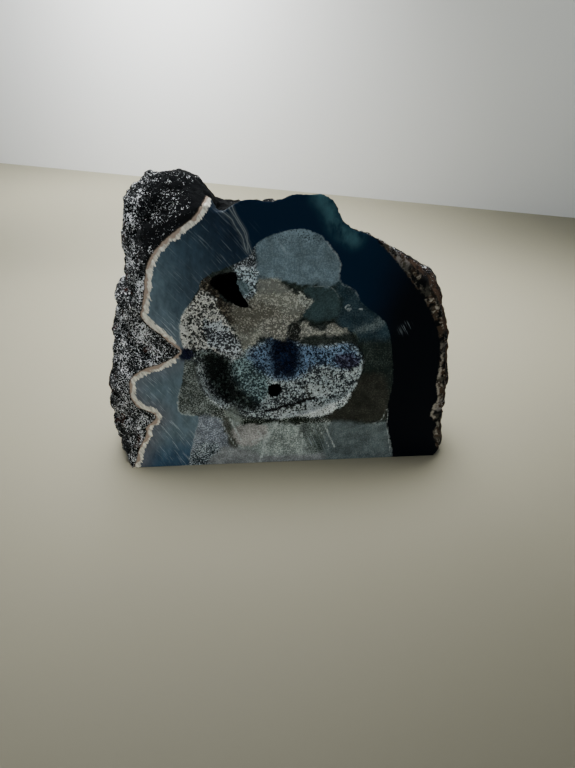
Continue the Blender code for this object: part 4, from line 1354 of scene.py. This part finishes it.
def one_crystal():
    """A six-sided prism of radius 1 with a point, open underneath."""
    tools = bmesh.new()
    bmesh.ops.create_circle(tools, segments=6, radius=1.0)
    edges = tools.edges[:]
    for height, width in ((SHOULDER, SHOULDER_WIDTH), (TIP, TIP_WIDTH)):
        made = bmesh.ops.extrude_edge_only(tools, edges=edges)["geom"]
        verts = [part for part in made if isinstance(part, bmesh.types.BMVert)]
        edges = [part for part in made if isinstance(part, bmesh.types.BMEdge)]
        for vertex in verts:
            vertex.co = (vertex.co.x * width, vertex.co.y * width, height)
    bmesh.ops.pointmerge(tools, verts=verts, merge_co=(0, 0, TIP))
    bmesh.ops.recalc_face_normals(tools, faces=tools.faces)
    bmesh.ops.triangulate(tools, faces=tools.faces)
    tools.verts.index_update()
    points = np.array([v.co[:] for v in tools.verts])
    faces = np.array([[v.index for v in face.verts] for face in tools.faces])
    middle = Vector((0, 0, MIDDLE_HEIGHT))
    if sum(face.normal.dot(face.calc_center_median() - middle) for face in tools.faces) < 0:
        faces = faces[:, ::-1]
    tools.free()
    from_lowest = [tuple(np.roll(face, -face.argmin())) for face in faces]
    return points, np.array(sorted(from_lowest))


crystal_points, crystal_faces = one_crystal()
print("one crystal:", len(crystal_faces), "triangles")

# %% [markdown]
# ## Where the crystals stand
# The crystals crowd equally thickly wherever the bed is. Geometry nodes could scatter them. Here a
# random choice among the bed's faces, weighted by their area, does the same, and the zone of each
# foot gives the crystal its size and colours. The random numbers start from a fixed seed, so each
# run grows the same crust.

# %% Feet of the crystals
CRYSTALS = 30000
SEED = 7
FOOT_SHIFT = 0.3

chance = np.random.default_rng(SEED)
face_area = np.array([face.area for face in bed.polygons])
centres = np.array([face.center[:] for face in bed.polygons]) / MM
bed_normals = np.array([face.normal[:] for face in bed.polygons])
chosen = chance.choice(len(centres), CRYSTALS, replace=True, p=face_area / face_area.sum())
feet = centres[chosen] + chance.uniform(-FOOT_SHIFT, FOOT_SHIFT, (CRYSTALS, 3))
feet[:, 1] = FACE_Y + bed_depth(feet[:, [0, 2]])
looks = quartz_look(feet)
print(CRYSTALS, "crystals on", round(face_area.sum() * 1e6), "square millimetres")

# %% [markdown]
# ## Growing the crystals
# Each crystal leans its own way, is turned round its own axis, is a little wider one way than the
# other, and has a crooked shoulder. That is what makes a crust of equal shapes look grown. All of
# them are worked out at once with arrays of numbers, which takes a second instead of minutes. None
# may stick out through the sawn face, because the saw cut those off.

# %% Growing the crystals
CRYSTAL_LEAN = 0.35
RADIUS_RANGE, HEIGHT_RANGE = (0.6, 1.4), (0.5, 1.4)
WIDTH_RANGE, SHOULDER_RANGE = (0.75, 1.25), (-0.35, 0.35)
SUNK = 0.25
BEHIND_FACE = 0.1

axis = bed_normals[chosen] + chance.normal(size=(CRYSTALS, 3)) * CRYSTAL_LEAN
axis /= np.linalg.norm(axis, axis=1)[:, None]
across = np.cross(axis, chance.normal(size=(CRYSTALS, 3)))
across /= np.linalg.norm(across, axis=1)[:, None]
upright = np.cross(axis, across)
radius = looks[:, 7] * chance.uniform(*RADIUS_RANGE, CRYSTALS)
height = looks[:, 8] * chance.uniform(*HEIGHT_RANGE, CRYSTALS) / TIP
local = np.repeat(crystal_points[None], CRYSTALS, axis=0)
local[:, :, :2] *= chance.uniform(*WIDTH_RANGE, (CRYSTALS, 1, 2))
shoulder = crystal_points[:, 2] == SHOULDER
local[:, shoulder, 2] += chance.uniform(*SHOULDER_RANGE, (CRYSTALS, int(shoulder.sum())))
grown = feet[:, None] + across[:, None] * local[:, :, :1] * radius[:, None, None]
grown += upright[:, None] * local[:, :, 1:2] * radius[:, None, None]
grown += axis[:, None] * (local[:, :, 2:] * height[:, None, None] - SUNK)
grown[:, :, 1] = np.maximum(grown[:, :, 1], FACE_Y + BEHIND_FACE)
print("crystals:", CRYSTALS * len(crystal_faces), "triangles")

# %% [markdown]
# ## Tints
# In a druzy crust bright crystals sit beside dark ones, and both come in clusters. The bright ones
# are partly painted glints, which real facets throw back from the light, and the dark ones are
# partly painted shade between the crystals. Each crystal draws a level, from noise for the clusters
# and from chance for itself, and is light where its level is below its zone's share of light. The
# bed keeps near the dark colour, as painted shade in the gaps between the crystals.

# %% Tints
GRAIN_CLUSTER, GRAIN_PATCH = 0.6, 3.4
CLUSTER_SHARE, CHANCE_SHARE = 0.3, 0.4
GLINT_AND_LIGHT_TONES, SHADE_AND_DARK_TONES = (0.62, 1.0), (0.0, 0.1)
BED_LIGHT = 0.15


def tinted(looks, tone):
    """The dark colour of each look, moved towards its light one."""
    return looks[:, :3] * (1 - tone[:, None]) + looks[:, 3:6] * tone[:, None]


level = 0.5 + CLUSTER_SHARE * rough(feet, GRAIN_CLUSTER, 2, 11)
level += chance.uniform(-CHANCE_SHARE, CHANCE_SHARE, CRYSTALS)
level += CLUSTER_SHARE * rough(feet, GRAIN_PATCH, 3, 12)
# a light crystal is partly a painted glint, and a dark one partly painted shade
light = level < looks[:, 6]
tone = np.where(light, chance.uniform(*GLINT_AND_LIGHT_TONES, CRYSTALS), chance.uniform(*SHADE_AND_DARK_TONES, CRYSTALS))
crystal_tint_glint_and_shade = np.repeat(tinted(looks, tone), len(crystal_points), axis=0)
bed_points = points_of(bed) / MM
bed_looks = quartz_look(bed_points)
# the bed stays near its dark colour: painted shade between the crystals
bed_tone = BED_LIGHT * bed_looks[:, 6] + BED_LIGHT * rough(bed_points, GRAIN_CLUSTER, 2, 9)
bed_tint_and_shade = tinted(bed_looks, bed_tone.clip(0, 1))
print("light crystals:", int(light.sum()))

# %% [markdown]
# ## Bed and crystals as pieces
# All the crystals together have far more triangles than one piece may have. So the crust is four
# pieces: the bed, and the crystals of the upper, the middle and the lower hollow. They all stand
# for the one packed crust, which is hidden, and ride on the stone.

# %% Bed and crystals as pieces
UPPER_FROM, LOWER_TO = 48.5, 36.5


def crust_piece(name, mesh, tint):
    put_colour(mesh, "tint", tint)
    mesh.shade_flat()
    obj = bpy.data.objects.new(name, mesh)
    bpy.context.scene.collection.objects.link(obj)
    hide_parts("crystal_crust")
    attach(obj, "root")
    return obj


def joined_crystals(name, numbers):
    mesh = bpy.data.meshes.new(name)
    first = (np.arange(len(numbers)) * len(crystal_points))[:, None, None]
    corners = (crystal_faces[None] + first).reshape(-1, 3)
    mesh.from_pydata((grown[numbers].reshape(-1, 3) * MM).tolist(), [], corners.tolist())
    tint = crystal_tint_glint_and_shade.reshape(CRYSTALS, -1, 3)[numbers].reshape(-1, 3)
    return crust_piece(name, mesh, tint)


upper, lower = feet[:, 2] >= UPPER_FROM, feet[:, 2] < LOWER_TO
crust = [crust_piece("crust_bed", bed, bed_tint_and_shade)]
crust.append(joined_crystals("upper_crystals", np.flatnonzero(upper)))
crust.append(joined_crystals("middle_crystals", np.flatnonzero(~upper & ~lower)))
crust.append(joined_crystals("lower_crystals", np.flatnonzero(lower)))
for piece in crust:
    print(piece.name, sum(len(face.vertices) - 2 for face in piece.data.polygons), "triangles")

# %% [markdown]
# ## The crystals' material
# Quartz is glassy. Real glass shading of thirty thousand crystals would be slow and noisy, and at
# this size only two things show: each crystal's tint, which is partly its own colour and partly a
# painted glint or painted shade, and sharp little highlights on its flat facets. So the material is
# a plain one with the tint as its colour and a low roughness.

# %% Crystal material
CRYSTAL_ROUGHNESS, CRYSTAL_SHINE = 0.3, 0.22


def crystal_material():
    material, tree, shader = new_material("crystals")
    tree.links.new(attribute(tree, "tint", "Color"), shader.inputs["Base Color"])
    shader.inputs["Roughness"].default_value = CRYSTAL_ROUGHNESS
    shader.inputs["Specular IOR Level"].default_value = CRYSTAL_SHINE
    return material


crystals = crystal_material()
for piece in crust:
    piece.data.materials.append(crystals)
print("crystal material on", len(crust), "pieces")

# %% [markdown]
# ## Table and wall
# The stone stands on a pale table before a pale wall, which slants nearer on the right. Both are
# single flat sheets, marked as the stage, so they are in the picture but no part of the object.

# %% Table and wall
WALL_LEFT, WALL_RIGHT = (-345.6, 655.2), (283.3, 315.0)
WALL_HEIGHT = 700.0
TABLE_HALF = 1500.0
TABLE_COLOUR, TABLE_ROUGHNESS = (0.42, 0.395, 0.285), 0.6
WALL_COLOUR, WALL_ROUGHNESS = (0.82, 0.83, 0.82), 0.8


def plain(name, colour, roughness):
    material, _, shader = new_material(name)
    shader.inputs["Base Color"].default_value = (*colour, 1.0)
    shader.inputs["Roughness"].default_value = roughness
    return material


def sheet(name, corners, material):
    tools = bmesh.new()
    tools.faces.new([tools.verts.new(Vector(corner) * MM) for corner in corners])
    mesh = bpy.data.meshes.new(name)
    tools.to_mesh(mesh)
    tools.free()
    mesh.materials.append(material)
    obj = bpy.data.objects.new(name, mesh)
    bpy.context.scene.collection.objects.link(obj)
    obj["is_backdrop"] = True


half = TABLE_HALF
table_corners = [(-half, -half, 0), (half, -half, 0), (half, half, 0), (-half, half, 0)]
sheet("table", table_corners, plain("table", TABLE_COLOUR, TABLE_ROUGHNESS))
start, end = Vector(WALL_LEFT), Vector(WALL_RIGHT)
left, right = start - (end - start), end + (end - start)
wall_corners = [(*left, 0), (*right, 0), (*right, WALL_HEIGHT), (*left, WALL_HEIGHT)]
sheet("wall", wall_corners, plain("wall", WALL_COLOUR, WALL_ROUGHNESS))
print("wall from", tuple(round(v) for v in left), "to", tuple(round(v) for v in right))

# %% [markdown]
# ## Light
# The room's light comes from the sides and from behind. A square lamp over and behind the stone
# lights the top of its skin and the table there. Its spread is narrow, so that it doesn't flood
# the table in front. A second lamp brightens the wall. The world is bright near the horizon and
# dim overhead, so the upright face gets an even light, and the top keeps its shadows.

# %% Light
LAMP_PLACE, LAMP_AIM = (-15.0, 160.0, 360.0), (-5.0, 140.0, 0.0)
LAMP_SIZE, LAMP_POWER, LAMP_SPREAD = 350.0, 0.76, math.radians(54)
WALL_LAMP_PLACE, WALL_LAMP_AIM = (-150.0, 340.0, 300.0), (-140.0, 600.0, 110.0)
WALL_LAMP_SIZE, WALL_LAMP_POWER, WALL_LAMP_SPREAD = 150.0, 1.6, math.radians(150)
ROOM_COLOUR = (0.94, 0.985, 1.0, 1.0)
ZENITH, HORIZON, BAND_TOP = 0.06, 2.5, 0.33


def lamp(name, place, aim, size, power, spread):
    light = bpy.data.lights.new(name, "AREA")
    light.shape = "SQUARE"
    light.size = size * MM
    light.energy = power
    light.spread = spread
    obj = bpy.data.objects.new(name, light)
    obj.location = Vector(place) * MM
    obj.rotation_euler = (Vector(aim) - Vector(place)).to_track_quat("-Z", "Y").to_euler()
    bpy.context.scene.collection.objects.link(obj)


lamp("window", LAMP_PLACE, LAMP_AIM, LAMP_SIZE, LAMP_POWER, LAMP_SPREAD)
lamp("wall light", WALL_LAMP_PLACE, WALL_LAMP_AIM, WALL_LAMP_SIZE, WALL_LAMP_POWER, WALL_LAMP_SPREAD)
world = bpy.data.worlds.new("room")
world.use_nodes = True
background = world.node_tree.nodes["Background"]
background.inputs["Color"].default_value = ROOM_COLOUR
way = put(world.node_tree, "ShaderNodeTexCoord", output="Generated")
up = axes(world.node_tree, way)[2]
inputs = {"Value": up, "From Min": 0.0, "From Max": BAND_TOP, "To Min": HORIZON, "To Max": ZENITH}
strength = put(world.node_tree, "ShaderNodeMapRange", inputs)
world.node_tree.links.new(strength, background.inputs["Strength"])
bpy.context.scene.world = world
print("light:", len(bpy.data.lights), "lamps and the world")

# %% [markdown]
# ## Size
# The relief moves the skin a little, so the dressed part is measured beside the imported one, to see
# that it has kept its size.

# %% Size and finish
visual_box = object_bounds()
sizes = {"cad": [list(corner) for corner in cad_box], "visual": [list(corner) for corner in visual_box]}
for name, (small, large) in sizes.items():
    print(name, "mm:", [round((b - a) / MM, 1) for a, b in zip(small, large)])
